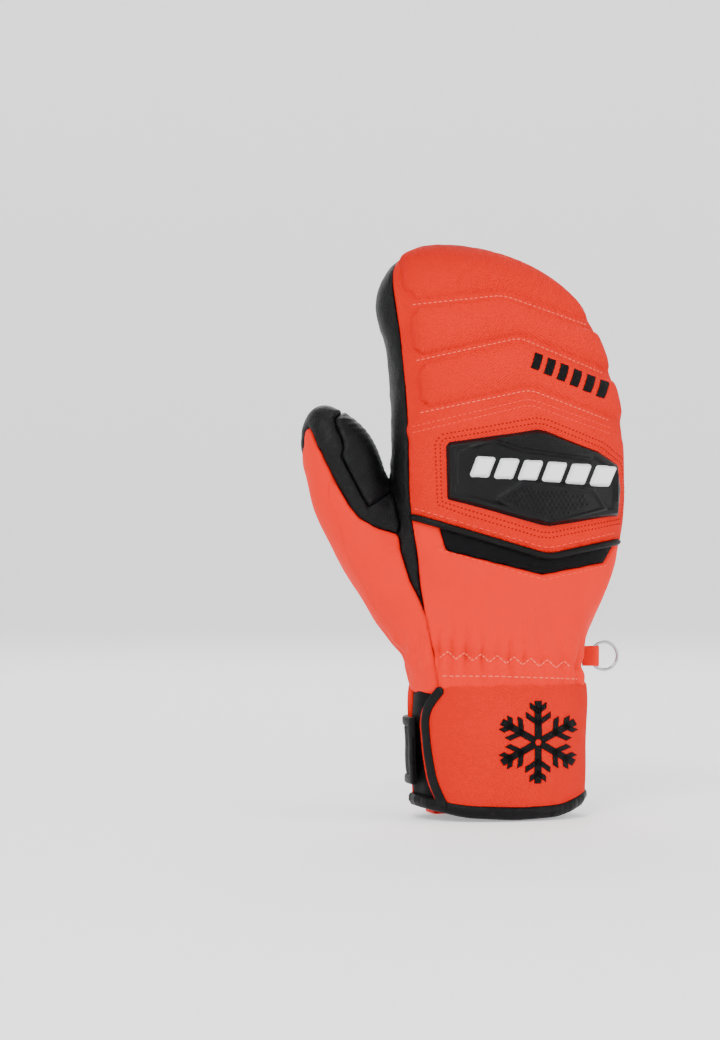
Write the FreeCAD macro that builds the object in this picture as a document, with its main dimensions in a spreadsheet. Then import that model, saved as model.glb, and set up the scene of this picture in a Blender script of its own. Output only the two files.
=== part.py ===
"""Ski mitten for the right hand, modelled as it is built: shell panels, padding, lining, cuff, strap and ring.

Millimetres, +Z from the cuff's mouth to the fingertips, -Y the back of the hand, +Y the palm, -X the thumb side.
The origin is the middle of the cuff's mouth, on the plane that the hem stands on.
Each wall is the space between two lofts of the same elliptical sections, taken in by two different depths.
"""

import FreeCAD, Part
import math
import os

import Sketcher
from FreeCAD import Placement, Rotation, Vector

doc = FreeCAD.newDocument("ski_mitten")
sheet = doc.addObject("Spreadsheet::Sheet", "Sizes")
cells = {}
kept = []


def size(name, value):
    """Puts one driving dimension in the sheet, under its own alias."""
    row = len(cells) + 1
    sheet.set(f"A{row}", name)
    sheet.set(f"B{row}", f"{value:g}")
    sheet.setAlias(f"B{row}", name)
    cells[name] = value


# Stations of the hand and finger envelope: height, centre across, half width, centre in depth, half depth.
HAND = [
    (66, 0, 44, 0, 27.5),
    (78, 0, 43, 0, 25.5),
    (108, 4, 48.5, 0, 27.5),
    (140, 6, 56.5, 0, 29),
    (175, 5.5, 59, 0, 28.5),
    (210, 3.5, 57.5, 1.5, 27),
]
# Stations of the thumb envelope, which starts inside the wrist.
THUMB = [
    (72, -22, 18, 3, 17),
    (88, -31, 21, 6, 20),
    (108, -44, 22, 9, 20),
    (130, -57, 22.5, 11, 20),
    (152, -67.5, 21.5, 13, 19),
]
# Each envelope ends in a dome: base height, rise, centre, half width, centre in depth, half depth,
# then its lean across and in depth.
DOMES = {
    "hand": (240, 44, -3, 54.5, 4, 25.5, -34, 8),
    "thumb": (172, 31, -75.5, 19, 15, 17.5, -14, 2),
}
CUFF = [(0, 0, 42, 0, 28), (30, 0, 43.5, 0, 29), (66, 0, 44, 0, 28)]
DOME_ANGLES = (0, 22, 42, 58, 71, 82)

for part_name, stations in (("hand", HAND), ("thumb", THUMB), ("cuff", CUFF)):
    for number, station in enumerate(stations):
        for word, value in zip(("height", "across", "width", "back", "depth"), station):
            size(f"{part_name}_{number}_{word}", value)
for part_name, dome in DOMES.items():
    words = ("height", "rise", "across", "width", "back", "depth", "lean_across", "lean_back")
    for word, value in zip(words, dome):
        size(f"{part_name}_dome_{word}", value)

# Depths of the layers under the outer surface, outside to inside; a negative depth stands proud of it.
DEPTHS = {
    "badge_top": -5.2,
    "guard_top": -3.8,
    "guard_seat": -0.4,
    "piping_top": -2.2,
    "skin_top": 0,
    "skin_under": 1.6,
    "fill_top": 2.0,
    "pad_under": 4.4,
    "pad_gap": 4.7,
    "fill_under": 6.4,
    "membrane_top": 6.8,
    "membrane_under": 7.4,
    "liner_top": 7.8,
    "liner_under": 8.8,
    "elastic_under": 3.4,
    "elastic_room": 3.7,
    "sweep": -0.6,
}
CUFF_DEPTHS = {
    "binding_out": -1.2,
    "binding_slot_out": -0.3,
    "cuff_skin_top": 0,
    "cuff_skin_under": 2.0,
    "gusset_top": 2.3,
    "gusset_under": 3.3,
    "cuff_lining_top": 3.6,
    "cuff_lining_under": 4.8,
    "binding_slot_in": 5.1,
    "binding_in": 6.0,
    "loop_tape_top": -1.2,
    "loop_tape_seat": -0.2,
    "hook_tape_seat": -1.5,
    "hook_tape_top": -2.5,
    "strap_seat": -2.7,
    "strap_top": -4.3,
    "strap_binding_top": -4.9,
}
for depth_name, value in {**DEPTHS, **CUFF_DEPTHS}.items():
    size(depth_name, value)

for word, value in {
    "gap": 0.3,
    "cuff_top": 65.7,
    "wrist_top": 88,
    "hand_start": 88.3,
    "finger_axis_height": 200,
    "finger_axis_back": -6,
    "finger_wedge_angle": 26,
    "side_back_edge": -10.7,
    "side_palm_edge": 12,
    "finger_side_back_edge": -8,
    "finger_side_palm_edge": 16,
    "binding_height": 8,
    "binding_floor": 2.6,
    "strap_bottom": 16,
    "strap_height": 34,
    "strap_edge": 2.5,
    "strap_end": 36,
    "strap_root": -5,
    "ring_radius": 7,
    "ring_wire": 0.8,
    "ring_height": 79,
    "tab_root": 45,
    "tab_eye": 50.5,
    "tab_width": 10,
    "tab_eye_out": 3.1,
    "tab_eye_in": 2.15,
    "tab_root_half": 1.1,
    "loop_half_span": 26,
    "loop_ribbon": 6,
    "loop_reach": 24,
    "loop_thick": 1.2,
    "loop_hinge_back": 26.5,
    "elastic_bottom": 67.5,
    "elastic_height": 8,
    "turn": 15,
    "thumb_bend_across": -72,
    "thumb_bend_back": 2,
    "thumb_bend_height": 161,
    "thumb_bend_lean": 26,
    "thumb_wedge_angle": 20,
    "thumb_seam_across": -66,
    "thumb_seam_lean": 24,
}.items():
    size(word, value)

# Pattern outlines on the back of the hand, in a plane turned by the cell "turn": (across, up) for each corner.
OUTLINES = {
    "guard": [(-25.5, 158), (-25.5, 185), (20.5, 192.5), (46, 182), (59, 175.5), (59, 150), (24, 143.5)],
    "knuckle_foam": [(-20, 161), (-20, 181), (20, 187), (52, 176), (52, 154), (24, 148.5)],
    "knuckle_panel": [(-80, 152), (-80, 260), (90, 260), (90, 142), (62, 137.5), (25, 130.5)],
    "piping": [
        (-80, 152), (25, 130.5), (62, 137.5), (90, 142),
        (90, 139), (62, 134.5), (25, 127.5), (-80, 149),
    ],
    "flex_insert": [(-29, 137.9), (25, 127.2), (60, 133.8), (57, 126), (24, 119.5), (-24, 128)],
    "pad_one": [(-45, 204), (-45, 229), (12, 240), (56, 222), (56, 201), (18, 212)],
    "pad_two": [(-45, 232), (-45, 255), (5, 261), (46, 246), (54, 226), (12, 243)],
    "pad_three": [(-42, 258.5), (-34, 274), (-20, 279), (8, 272), (36, 256), (43, 250.5), (5, 264.5)],
    "emblem": [(-2, 36), (19, 60), (40, 36), (19, 12)],
}
for outline_name, corners in OUTLINES.items():
    for number, (across, up) in enumerate(corners):
        size(f"{outline_name}_across_{number}", across)
        size(f"{outline_name}_up_{number}", up)
doc.recompute()


def bind(thing, **expressions):
    """Ties an object's properties to the sheet; a double underscore in a name stands for a dot."""
    for name, expression in expressions.items():
        thing.setExpression(name.replace("__", "."), expression)
    return thing


def add(kind, name, **properties):
    thing = doc.addObject(kind, name)
    for word, value in properties.items():
        setattr(thing, word, value)
    return thing


def cut(name, base, tool):
    return add("Part::Cut", name, Base=base, Tool=tool)


def common(name, base, tool):
    return add("Part::Common", name, Base=base, Tool=tool)


def fuse(name, *shapes):
    return add("Part::MultiFuse", name, Shapes=list(shapes))


def keep(thing, label):
    """Marks a finished sub-part and gives it the label that names its file."""
    thing.Label = label
    kept.append(thing)
    return thing


def ellipse(name, across, width, back, depth, height):
    return bind(
        add("Part::Ellipse", name),
        MajorRadius=width,
        MinorRadius=depth,
        Placement__Base__x=across,
        Placement__Base__y=back,
        Placement__Base__z=height,
    )


made_envelopes = {}


def envelope(part_name, stations, depth, copy=""):
    """The outer form of the hand, thumb or cuff, taken in by the depth that the named cell holds."""
    key = (part_name, depth, copy)
    if key in made_envelopes:
        return made_envelopes[key]
    sections = []
    for number in range(len(stations)):
        cell = f"Sizes.{part_name}_{number}_"
        sections.append(
            ellipse(
                f"{part_name}_{depth}{copy}_{number}",
                cell + "across",
                f"{cell}width - Sizes.{depth}",
                cell + "back",
                f"{cell}depth - Sizes.{depth}",
                cell + "height",
            )
        )
    if part_name in DOMES:
        cell = f"Sizes.{part_name}_dome_"
        for angle in DOME_ANGLES:
            sections.append(
                ellipse(
                    f"{part_name}_{depth}{copy}_dome_{angle}",
                    f"{cell}across + {cell}lean_across * sin({angle / 2:g} deg)",
                    f"({cell}width - Sizes.{depth}) * cos({angle} deg)",
                    f"{cell}back + {cell}lean_back * sin({angle / 2:g} deg)",
                    f"({cell}depth - Sizes.{depth}) * cos({angle} deg)",
                    f"{cell}height + ({cell}rise - Sizes.{depth}) * sin({angle} deg)",
                )
            )
    loft = add("Part::Loft", f"{part_name}_form_{depth}{copy}", Sections=sections, Solid=True, Ruled=False)
    made_envelopes[key] = loft
    return loft


def hand_form(depth):
    return envelope("hand", HAND, depth)


def thumb_form(depth):
    return envelope("thumb", THUMB, depth)


def cuff_form(depth):
    return envelope("cuff", CUFF, depth)


def block(name, x, y, z):
    """A box tool between two expressions on each axis."""
    low, high = zip(x, y, z)
    return bind(
        add("Part::Box", name),
        Length=f"({high[0]}) - ({low[0]})",
        Width=f"({high[1]}) - ({low[1]})",
        Height=f"({high[2]}) - ({low[2]})",
        Placement__Base__x=low[0],
        Placement__Base__y=low[1],
        Placement__Base__z=low[2],
    )


def polygon_sketch(name, corners, placement):
    """A closed sketch whose corners follow pairs of sheet cells."""
    sketch = add("Sketcher::SketchObject", name, Placement=placement)
    points = [Vector(cells[a], cells[b], 0) for a, b in corners]
    count = len(points)
    for i in range(count):
        sketch.addGeometry(Part.LineSegment(points[i], points[(i + 1) % count]), False)
    for i in range(count):
        sketch.addConstraint(Sketcher.Constraint("Coincident", i, 2, (i + 1) % count, 1))
    for i, (a, b) in enumerate(corners):
        for kind, cell, value in (("DistanceX", a, points[i].x), ("DistanceY", b, points[i].y)):
            number = sketch.addConstraint(Sketcher.Constraint(kind, -1, 1, i, 1, value))
            sketch.setExpression(f"Constraints[{number}]", f"Sizes.{cell}")
    return sketch


def pattern_prism(name, ahead=90.0, behind=45.0):
    """An outline from OUTLINES, extruded square to the turned pattern plane."""
    corners = [(f"{name}_across_{i}", f"{name}_up_{i}") for i in range(len(OUTLINES[name]))]
    facing = Rotation(Vector(0, 0, 1), -cells["turn"]) * Rotation(Vector(1, 0, 0), 90)
    sketch = polygon_sketch(f"{name}_outline", corners, Placement(Vector(), facing))
    return add(
        "Part::Extrusion", f"{name}_prism", Base=sketch, DirMode="Normal",
        LengthFwd=ahead, LengthRev=behind, Solid=True,
    )


# --- zones that share out the hand's wall ------------------------------------------------------------------
FAR = "150"
hand_zone = block("hand_zone", (f"-{FAR}", FAR), (f"-{FAR}", FAR), ("Sizes.hand_start", "300"))
wrist_zone = block(
    "wrist_zone", (f"-{FAR}", FAR), (f"-{FAR}", FAR), ("Sizes.cuff_top + Sizes.gap", "Sizes.wrist_top")
)
back_zone = block("back_zone", (f"-{FAR}", FAR), (f"-{FAR}", "Sizes.side_back_edge"), ("0", "300"))
palm_zone = block("palm_zone", (f"-{FAR}", FAR), ("Sizes.side_palm_edge", FAR), ("0", "300"))
finger_back_zone = block(
    "finger_back_zone", (f"-{FAR}", FAR), (f"-{FAR}", "Sizes.finger_side_back_edge"), ("0", "300")
)
finger_palm_zone = block(
    "finger_palm_zone", (f"-{FAR}", FAR), ("Sizes.finger_side_palm_edge", FAR), ("0", "300")
)
index_half = block("index_half", (f"-{FAR}", "-4"), (f"-{FAR}", FAR), ("0", "300"))

# The bend at the knuckles: a slit on the back and a wedge on the palm side, both along the finger axis.
axis_back, axis_height = cells["finger_axis_back"], cells["finger_axis_height"]
gap = cells["gap"]
rise = 70 * math.tan(math.radians(cells["finger_wedge_angle"]))
bend_corners = [
    (-90, axis_height - gap),
    (axis_back, axis_height - gap),
    (axis_back + 70, axis_height - gap - rise),
    (axis_back + 70, axis_height + gap + rise),
    (axis_back, axis_height + gap),
    (-90, axis_height + gap),
]
for number, (back, up) in enumerate(bend_corners):
    size(f"bend_back_{number}", back)
    size(f"bend_up_{number}", up)
doc.recompute()
side_facing = Placement(Vector(), Rotation(Vector(0, 0, 1), 90) * Rotation(Vector(1, 0, 0), 90))
bend_cells = [(f"bend_back_{i}", f"bend_up_{i}") for i in range(6)]
bend_sketch = polygon_sketch("bend_outline", bend_cells, side_facing)
bend_wedge = add(
    "Part::Extrusion", "bend_wedge", Base=bend_sketch, DirMode="Normal",
    LengthFwd=120, LengthRev=120, Solid=True,
)
finger_zone_block = block(
    "finger_zone_block", (f"-{FAR}", FAR), (f"-{FAR}", FAR), ("Sizes.finger_axis_height", "300")
)

# --- the outer wall of the hand ------------------------------------------------------------------------------
hand_wall = cut("hand_wall", hand_form("skin_top"), hand_form("skin_under"))
open_wall = cut("open_wall", hand_wall, thumb_form("skin_under"))
upper_wall = common("upper_wall", open_wall, hand_zone)
bent_wall = cut("bent_wall", upper_wall, bend_wedge)
finger_wall = common("finger_wall", bent_wall, finger_zone_block)
palm_block = block("palm_block", (f"-{FAR}", FAR), (f"-{FAR}", FAR), ("0", "Sizes.finger_axis_height"))
lower_wall = common("lower_wall", bent_wall, palm_block)

knuckle_prism = pattern_prism("knuckle_panel")
lower_back = common("lower_back", lower_wall, back_zone)
keep(common("knuckle_panel", lower_back, knuckle_prism), "knuckle_panel")
insert_prism = pattern_prism("flex_insert")
back_below = cut("back_below", lower_back, knuckle_prism)
keep(cut("hand_back_panel", back_below, insert_prism), "hand_back_panel")
keep(common("flex_insert", back_below, insert_prism), "flex_insert")
keep(common("palm_grip_panel", lower_wall, palm_zone), "palm_grip_panel")
lower_side = cut("lower_side", cut("lower_not_back", lower_wall, back_zone), palm_zone)
keep(common("index_side_wall", lower_side, index_half), "index_side_wall")
keep(cut("little_finger_side_wall", lower_side, index_half), "little_finger_side_wall")

keep(common("finger_back_panel", finger_wall, finger_back_zone), "finger_back_panel")
keep(common("finger_palm_leather", finger_wall, finger_palm_zone), "finger_palm_leather")
finger_side = cut("finger_side", cut("finger_not_back", finger_wall, finger_back_zone), finger_palm_zone)
tip_half = block("tip_half", (f"-{FAR}", "-26"), (f"-{FAR}", FAR), ("0", "300"))
keep(common("fingertip_wall_index", finger_side, tip_half), "fingertip_wall_index")
keep(cut("fingertip_wall_little", finger_side, tip_half), "fingertip_wall_little")

crease_block = block("crease_block", (f"-{FAR}", FAR), ("Sizes.finger_axis_back", FAR), ("0", "300"))
crease = common("crease_ring", common("crease_wall", upper_wall, bend_wedge), crease_block)
keep(crease, "palm_crease")

# --- protection on the back of the hand ---------------------------------------------------------------------
guard_zone = block("guard_zone", (f"-{FAR}", FAR), (f"-{FAR}", "-4"), ("0", "300"))
guard_prism = common("guard_prism_front", pattern_prism("guard"), guard_zone)
guard_layer = cut("guard_layer", hand_form("guard_top"), hand_form("guard_seat"))
keep(common("knuckle_guard", guard_layer, guard_prism), "knuckle_guard")

# A row of slanted bars stands along the guard.
badge_layer = cut("badge_layer", hand_form("badge_top"), hand_form("guard_top"))
BAR_COUNT = 6
BAR_PITCH = 11.7
bar_sketches = []
for number in range(BAR_COUNT):
    left = -14 + BAR_PITCH * number
    top = 179.2 - 0.9 * number
    slant = [(left, top - 10), (left + 3.4, top), (left + 12.1, top - 0.7), (left + 8.7, top - 10.7)]
    corners = []
    for corner, (across, up) in enumerate(slant):
        size(f"bar_{number}_across_{corner}", across)
        size(f"bar_{number}_up_{corner}", up)
        corners.append((f"bar_{number}_across_{corner}", f"bar_{number}_up_{corner}"))
    bar_sketches.append(corners)
doc.recompute()
facing = Placement(Vector(), Rotation(Vector(0, 0, 1), -cells["turn"]) * Rotation(Vector(1, 0, 0), 90))
bars = []
for number, corners in enumerate(bar_sketches):
    sketch = polygon_sketch(f"bar_outline_{number}", corners, facing)
    bars.append(
        add(
            "Part::Extrusion", f"bar_{number}", Base=sketch, DirMode="Normal",
            LengthFwd=60, LengthRev=0, Solid=True,
        )
    )
keep(common("guard_badge", badge_layer, common("bars_front", fuse("bars", *bars), guard_zone)), "guard_badge")

piping_layer = cut("piping_layer", hand_form("piping_top"), hand_form("guard_seat"))
piping_front = common("piping_front", pattern_prism("piping"), back_zone)
keep(common("flex_piping", piping_layer, piping_front), "flex_piping")

pad_layer = cut("pad_layer", hand_form("fill_top"), hand_form("pad_under"))
pad_room = cut("pad_room", hand_form("skin_under"), hand_form("pad_gap"))
knuckle_foam = common("knuckle_foam_block", pad_layer, pattern_prism("knuckle_foam"))
keep(common("knuckle_foam", knuckle_foam, back_zone), "knuckle_foam")
for label in ("pad_one", "pad_two", "pad_three"):
    foam = common(f"{label}_block", pad_layer, pattern_prism(label))
    keep(common(f"{label}_foam", foam, finger_back_zone), f"finger_{label}")

# --- inner bags: fill, membrane and liner, each one piece from the wrist to the fingertips and thumb --------
upper = block("bag_zone", (f"-{FAR}", FAR), (f"-{FAR}", FAR), ("Sizes.cuff_top + 2 * Sizes.gap", "300"))


def bag(name, outside, inside):
    outer = fuse(f"{name}_outer", hand_form(outside), thumb_form(outside))
    hollow = cut(f"{name}_hollow", outer, hand_form(inside))
    return common(f"{name}_bag", cut(f"{name}_wall", hollow, thumb_form(inside)), upper)


foam_room = block("foam_room", (f"-{FAR}", FAR), (f"-{FAR}", "Sizes.side_back_edge + 4"), ("140", "288"))
fill = cut("fill_cut", bag("fill", "fill_top", "fill_under"), common("foam_pocket", pad_room, foam_room))
elastic_zone = block(
    "elastic_zone",
    (f"-{FAR}", FAR),
    (f"-{FAR}", FAR),
    ("Sizes.elastic_bottom", "Sizes.elastic_bottom + Sizes.elastic_height"),
)
elastic_band = cut("elastic_band", hand_form("fill_top"), hand_form("elastic_under"))
keep(common("wrist_elastic", elastic_band, elastic_zone), "wrist_elastic")
elastic_room_zone = block(
    "elastic_room_zone",
    (f"-{FAR}", FAR),
    (f"-{FAR}", FAR),
    ("Sizes.elastic_bottom - Sizes.gap", "Sizes.elastic_bottom + Sizes.elastic_height + Sizes.gap"),
)
elastic_room = cut("elastic_room", hand_form("skin_under"), hand_form("elastic_room"))
fill = cut("fill_beside_elastic", fill, common("elastic_pocket", elastic_room, elastic_room_zone))
keep(fill, "insulation_fill")
keep(bag("membrane", "membrane_top", "membrane_under"), "waterproof_membrane")
keep(bag("liner", "liner_top", "liner_under"), "inner_liner")

# --- thumb: a root sewn to the hand, and a tip that bends towards the palm -----------------------------------
thumb_wall = cut("thumb_wall", thumb_form("skin_top"), thumb_form("skin_under"))
thumb_above = common("thumb_above", thumb_wall, hand_zone)
thumb_shell = cut("thumb_shell", thumb_above, hand_form("sweep"))

lean = math.radians(cells["thumb_bend_lean"])
along_thumb = Vector(-math.sin(lean), 0, math.cos(lean))
bend_point = Vector(cells["thumb_bend_across"], 0, cells["thumb_bend_height"])
bend_frame = Placement(
    bend_point, Rotation(Vector(0, 1, 0), along_thumb, Vector(0, 1, 0).cross(along_thumb), "ZXY")
)
rise = 50 * math.tan(math.radians(cells["thumb_wedge_angle"]))
hinge_back = cells["thumb_bend_back"]
bend_corners = [
    (-60, -gap),
    (hinge_back, -gap),
    (hinge_back + 50, -gap - rise),
    (hinge_back + 50, gap + rise),
    (hinge_back, gap),
    (-60, gap),
]
for number, (back, up) in enumerate(bend_corners):
    size(f"thumb_cut_back_{number}", back)
    size(f"thumb_cut_up_{number}", up)
doc.recompute()
thumb_sketch = polygon_sketch(
    "thumb_bend_outline", [(f"thumb_cut_back_{i}", f"thumb_cut_up_{i}") for i in range(6)], bend_frame
)
thumb_wedge = add(
    "Part::Extrusion", "thumb_wedge", Base=thumb_sketch, DirMode="Normal",
    LengthFwd=70, LengthRev=70, Solid=True,
)
thumb_bent = cut("thumb_bent", thumb_shell, thumb_wedge)


def bend_block(name, back_from):
    """A box in the bend's own frame: beyond the hinge line, and from a given depth towards the palm."""
    box = add("Part::Box", name, Length=120, Width=100, Height=200)
    box.Placement = bend_frame.multiply(Placement(Vector(back_from, 0, -100), Rotation()))
    return box


tip_block = bend_block("tip_block", -60)
thumb_tip = common("thumb_tip", thumb_bent, tip_block)
thumb_root = cut("thumb_root", thumb_bent, tip_block)
for end, piece in (("tip", thumb_tip), ("root", thumb_root)):
    slanted = add("Part::Box", f"thumb_{end}_seam", Length=200, Width=200, Height=400)
    seam_turn = Rotation(Vector(0, 1, 0), -cells["thumb_seam_lean"])
    slanted.Placement = Placement(Vector(cells["thumb_seam_across"], 0, 150), seam_turn).multiply(
        Placement(Vector(-200, -100, -200), Rotation())
    )
    keep(common(f"thumb_{end}_outer_side", piece, slanted), f"thumb_{end}_outer")
    keep(cut(f"thumb_{end}_inner_side", piece, slanted), f"thumb_{end}_inner")
crease_zone = block("thumb_crease_zone", (f"-{FAR}", FAR), ("Sizes.thumb_bend_back", FAR), ("0", "300"))
thumb_crease = common("thumb_crease_wall", common("thumb_fold", thumb_shell, thumb_wedge), crease_zone)
keep(thumb_crease, "thumb_crease")

# --- wrist: gathered panels over an elastic band -------------------------------------------------------------
wrist_outer = fuse("wrist_outer", hand_form("skin_top"), thumb_form("skin_top"))
wrist_inner = fuse("wrist_inner", hand_form("skin_under"), thumb_form("skin_under"))
wrist_wall = common("wrist_wall", cut("wrist_tube", wrist_outer, wrist_inner), wrist_zone)
heel_zone = block("heel_zone", ("-12", FAR), ("0", FAR), ("0", "300"))
keep(cut("wrist_gather_panel", wrist_wall, heel_zone), "wrist_gather_panel")
keep(common("palm_heel_panel", wrist_wall, heel_zone), "palm_heel_panel")

# --- cuff -----------------------------------------------------------------------------------------------------
cuff_zone = block(
    "cuff_zone", (f"-{FAR}", FAR), (f"-{FAR}", FAR), ("Sizes.binding_floor + Sizes.gap", "Sizes.cuff_top")
)
cuff_tube = cut("cuff_tube", cuff_form("cuff_skin_top"), cuff_form("cuff_skin_under"))
cuff_wall = common("cuff_wall", cuff_tube, cuff_zone)
flap_zone = fuse(
    "flap_zone",
    block("flap_thumb_side", (f"-{FAR}", "0"), (f"-{FAR}", "-7"), ("0", "100")),
    block("flap_little_side", ("0", FAR), (f"-{FAR}", "2"), ("0", "100")),
)
keep(common("cuff_back_flap", cuff_wall, flap_zone), "cuff_back_flap")
keep(cut("cuff_palm_panel", cuff_wall, flap_zone), "cuff_palm_panel")
gusset_tube = cut("gusset_tube", cuff_form("gusset_top"), cuff_form("gusset_under"))
gusset_band = common("gusset_band", gusset_tube, cuff_zone)
gusset_zone = block("gusset_zone", (f"-{FAR}", "-20"), ("-18", "12"), ("0", "100"))
keep(common("cuff_gusset", gusset_band, gusset_zone), "cuff_gusset")
lining_tube = cut("lining_tube", cuff_form("cuff_lining_top"), cuff_form("cuff_lining_under"))

hem_zone = block("hem_zone", (f"-{FAR}", FAR), (f"-{FAR}", FAR), ("0", "Sizes.binding_height"))
slot_zone = block("slot_zone", (f"-{FAR}", FAR), (f"-{FAR}", FAR), ("Sizes.binding_floor", "20"))
hem_ring = common("hem_ring", cut("hem_tube", cuff_form("binding_out"), cuff_form("binding_in")), hem_zone)
slot_tube = cut("slot_tube", cuff_form("binding_slot_out"), cuff_form("binding_slot_in"))
slot_ring = common("slot_ring", slot_tube, slot_zone)
hem_binding = cut("hem_binding_whole", hem_ring, slot_ring)
ribbon_slots = []
for side, sign in (("left", "-1"), ("right", "1")):
    slot = block(
        f"ribbon_slot_{side}",
        (
            f"{sign} * Sizes.loop_half_span - Sizes.loop_ribbon / 2 - 0.5",
            f"{sign} * Sizes.loop_half_span + Sizes.loop_ribbon / 2 + 0.5",
        ),
        ("0", "40"),
        ("-1", "Sizes.loop_thick + Sizes.gap"),
    )
    ribbon_slots.append(slot)
hem_binding = cut("hem_binding_slotted", hem_binding, fuse("ribbon_slots", *ribbon_slots))
keep(common("cuff_lining", lining_tube, cuff_zone), "cuff_lining")
keep(common("hem_binding_back", hem_binding, flap_zone), "hem_binding_back")
keep(cut("hem_binding_palm", hem_binding, flap_zone), "hem_binding_palm")

edge_band = cut("edge_band", cuff_form("binding_out"), cuff_form("loop_tape_seat"))
edge_zone = block("edge_zone", (f"-{FAR}", "-20"), ("-14", "-7"), ("Sizes.binding_height + Sizes.gap", "62"))
keep(common("flap_edge_binding", edge_band, edge_zone), "flap_edge_binding")

emblem_prism = pattern_prism("emblem", ahead=90.0, behind=0.0)
emblem_film = cut("emblem_film", cuff_form("binding_slot_out"), cuff_form("cuff_skin_top"))
keep(common("cuff_emblem", emblem_film, emblem_prism), "cuff_emblem")

# --- closure strap: bands round the cuff's palm side ---------------------------------------------------------
strap_high = "Sizes.strap_bottom + Sizes.strap_height"
strap_zone = fuse(
    "strap_zone",
    block("strap_zone_palm", ("-30", "Sizes.strap_end"), ("0", FAR), ("Sizes.strap_bottom", strap_high)),
    block(
        "strap_zone_thumb", (f"-{FAR}", "-30"), ("Sizes.strap_root", FAR), ("Sizes.strap_bottom", strap_high)
    ),
)
inner_low = "Sizes.strap_bottom + Sizes.strap_edge"
inner_high = "Sizes.strap_bottom + Sizes.strap_height - Sizes.strap_edge"
strap_inside = fuse(
    "strap_inside",
    block(
        "strap_inside_palm", ("-30", "Sizes.strap_end - Sizes.strap_edge"), ("0", FAR), (inner_low, inner_high)
    ),
    block("strap_inside_thumb", (f"-{FAR}", "-30"), ("Sizes.strap_root - 5", FAR), (inner_low, inner_high)),
)
strap_tube = cut("strap_tube", cuff_form("strap_top"), cuff_form("strap_seat"))
strap_band = common("strap_band", strap_tube, strap_zone)
keep(common("closure_strap", strap_band, strap_inside), "closure_strap")
rim_tube = cut("rim_tube", cuff_form("strap_binding_top"), cuff_form("strap_seat"))
rim_band = common("rim_band", rim_tube, strap_zone)
keep(cut("strap_binding", rim_band, strap_inside), "strap_binding")
hook_zone = block(
    "hook_zone", ("2", "Sizes.strap_end - 3"), ("0", FAR), (f"{inner_low} + 1", f"{inner_high} - 1")
)
hook_band = cut("hook_band", cuff_form("hook_tape_top"), cuff_form("hook_tape_seat"))
keep(common("strap_hook_tape", hook_band, hook_zone), "strap_hook_tape")
loop_zone = block("loop_zone", ("-14", "38"), ("0", FAR), (inner_low, inner_high))
loop_band = cut("loop_band", cuff_form("loop_tape_top"), cuff_form("loop_tape_seat"))
keep(common("cuff_loop_tape", loop_band, loop_zone), "cuff_loop_tape")

# --- ring, its webbing tab and the pull loop -----------------------------------------------------------------
def origin_plane(body, role):
    return next(f for f in body.Origin.OriginFeatures if f.Role == role)


def body_with_sketch(name, role, offset=None):
    body = doc.addObject("PartDesign::Body", name)
    sketch = body.newObject("Sketcher::SketchObject", f"{name}_sketch")
    sketch.AttachmentSupport = [(origin_plane(body, role), "")]
    sketch.MapMode = "FlatFace"
    if offset is not None:
        sketch.AttachmentOffset = Placement(offset, Rotation())
    return body, sketch


def teardrop(sketch, eye_radius_cell, root, half):
    """A webbing fold: a round eye drawn down by two tangent sides to a flat root."""
    eye, radius = cells["tab_eye"], cells[eye_radius_cell]
    reach = math.hypot(eye - root, half)
    lean = math.acos(min(1.0, (radius - half) / reach)) if radius > half else math.pi / 2
    start, end = math.pi - lean, math.pi + lean
    top = Vector(eye + radius * math.cos(start), radius * math.sin(start), 0)
    low = Vector(top.x, -top.y, 0)
    arc = Part.Arc(low, Vector(eye + radius, 0, 0), top)
    first = sketch.addGeometry(arc, False)
    sketch.addGeometry(Part.LineSegment(top, Vector(root, half, 0)), False)
    sketch.addGeometry(Part.LineSegment(Vector(root, half, 0), Vector(root, -half, 0)), False)
    sketch.addGeometry(Part.LineSegment(Vector(root, -half, 0), low), False)
    for a, b in ((0, 1), (1, 2), (2, 3), (3, 0)):
        sketch.addConstraint(
            Sketcher.Constraint("Coincident", first + a, 2, first + b, 1)
        )
    number = sketch.addConstraint(Sketcher.Constraint("Radius", first, radius))
    sketch.setExpression(f"Constraints[{number}]", f"Sizes.{eye_radius_cell}")


tab_body, tab_sketch = body_with_sketch(
    "ring_tab", "XY_Plane", Vector(0, 0, cells["ring_height"] - cells["tab_width"] / 2)
)
teardrop(tab_sketch, "tab_eye_out", cells["tab_root"], cells["tab_root_half"])
tab_pad = tab_body.newObject("PartDesign::Pad", "ring_tab_pad")
tab_pad.Profile = tab_sketch
tab_pad.setExpression("Length", "Sizes.tab_width")
doc.recompute()
eye_sketch = tab_body.newObject("Sketcher::SketchObject", "ring_tab_eye_sketch")
eye_sketch.AttachmentSupport = [(origin_plane(tab_body, "XY_Plane"), "")]
eye_sketch.MapMode = "FlatFace"
tab_foot = cells["ring_height"] - cells["tab_width"] / 2
eye_sketch.AttachmentOffset = Placement(Vector(0, 0, tab_foot - 1), Rotation())
teardrop(eye_sketch, "tab_eye_in", cells["tab_root"] + 2.5, 0.15)
eye_pocket = tab_body.newObject("PartDesign::Pocket", "ring_tab_eye")
eye_pocket.Profile = eye_sketch
eye_pocket.Reversed = True
eye_pocket.setExpression("Length", "Sizes.tab_width + 2")
doc.recompute()
keep(tab_body, "ring_tab")

ring = bind(
    add("Part::Torus", "clip_ring"),
    Radius1="Sizes.ring_radius",
    Radius2="Sizes.ring_wire",
    Placement__Base__x="Sizes.tab_eye - 1.05 + Sizes.ring_radius",
    Placement__Base__z="Sizes.ring_height",
)
ring.Placement.Rotation = Rotation(Vector(1, 0, 0), 90)
keep(ring, "clip_ring")

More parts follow.
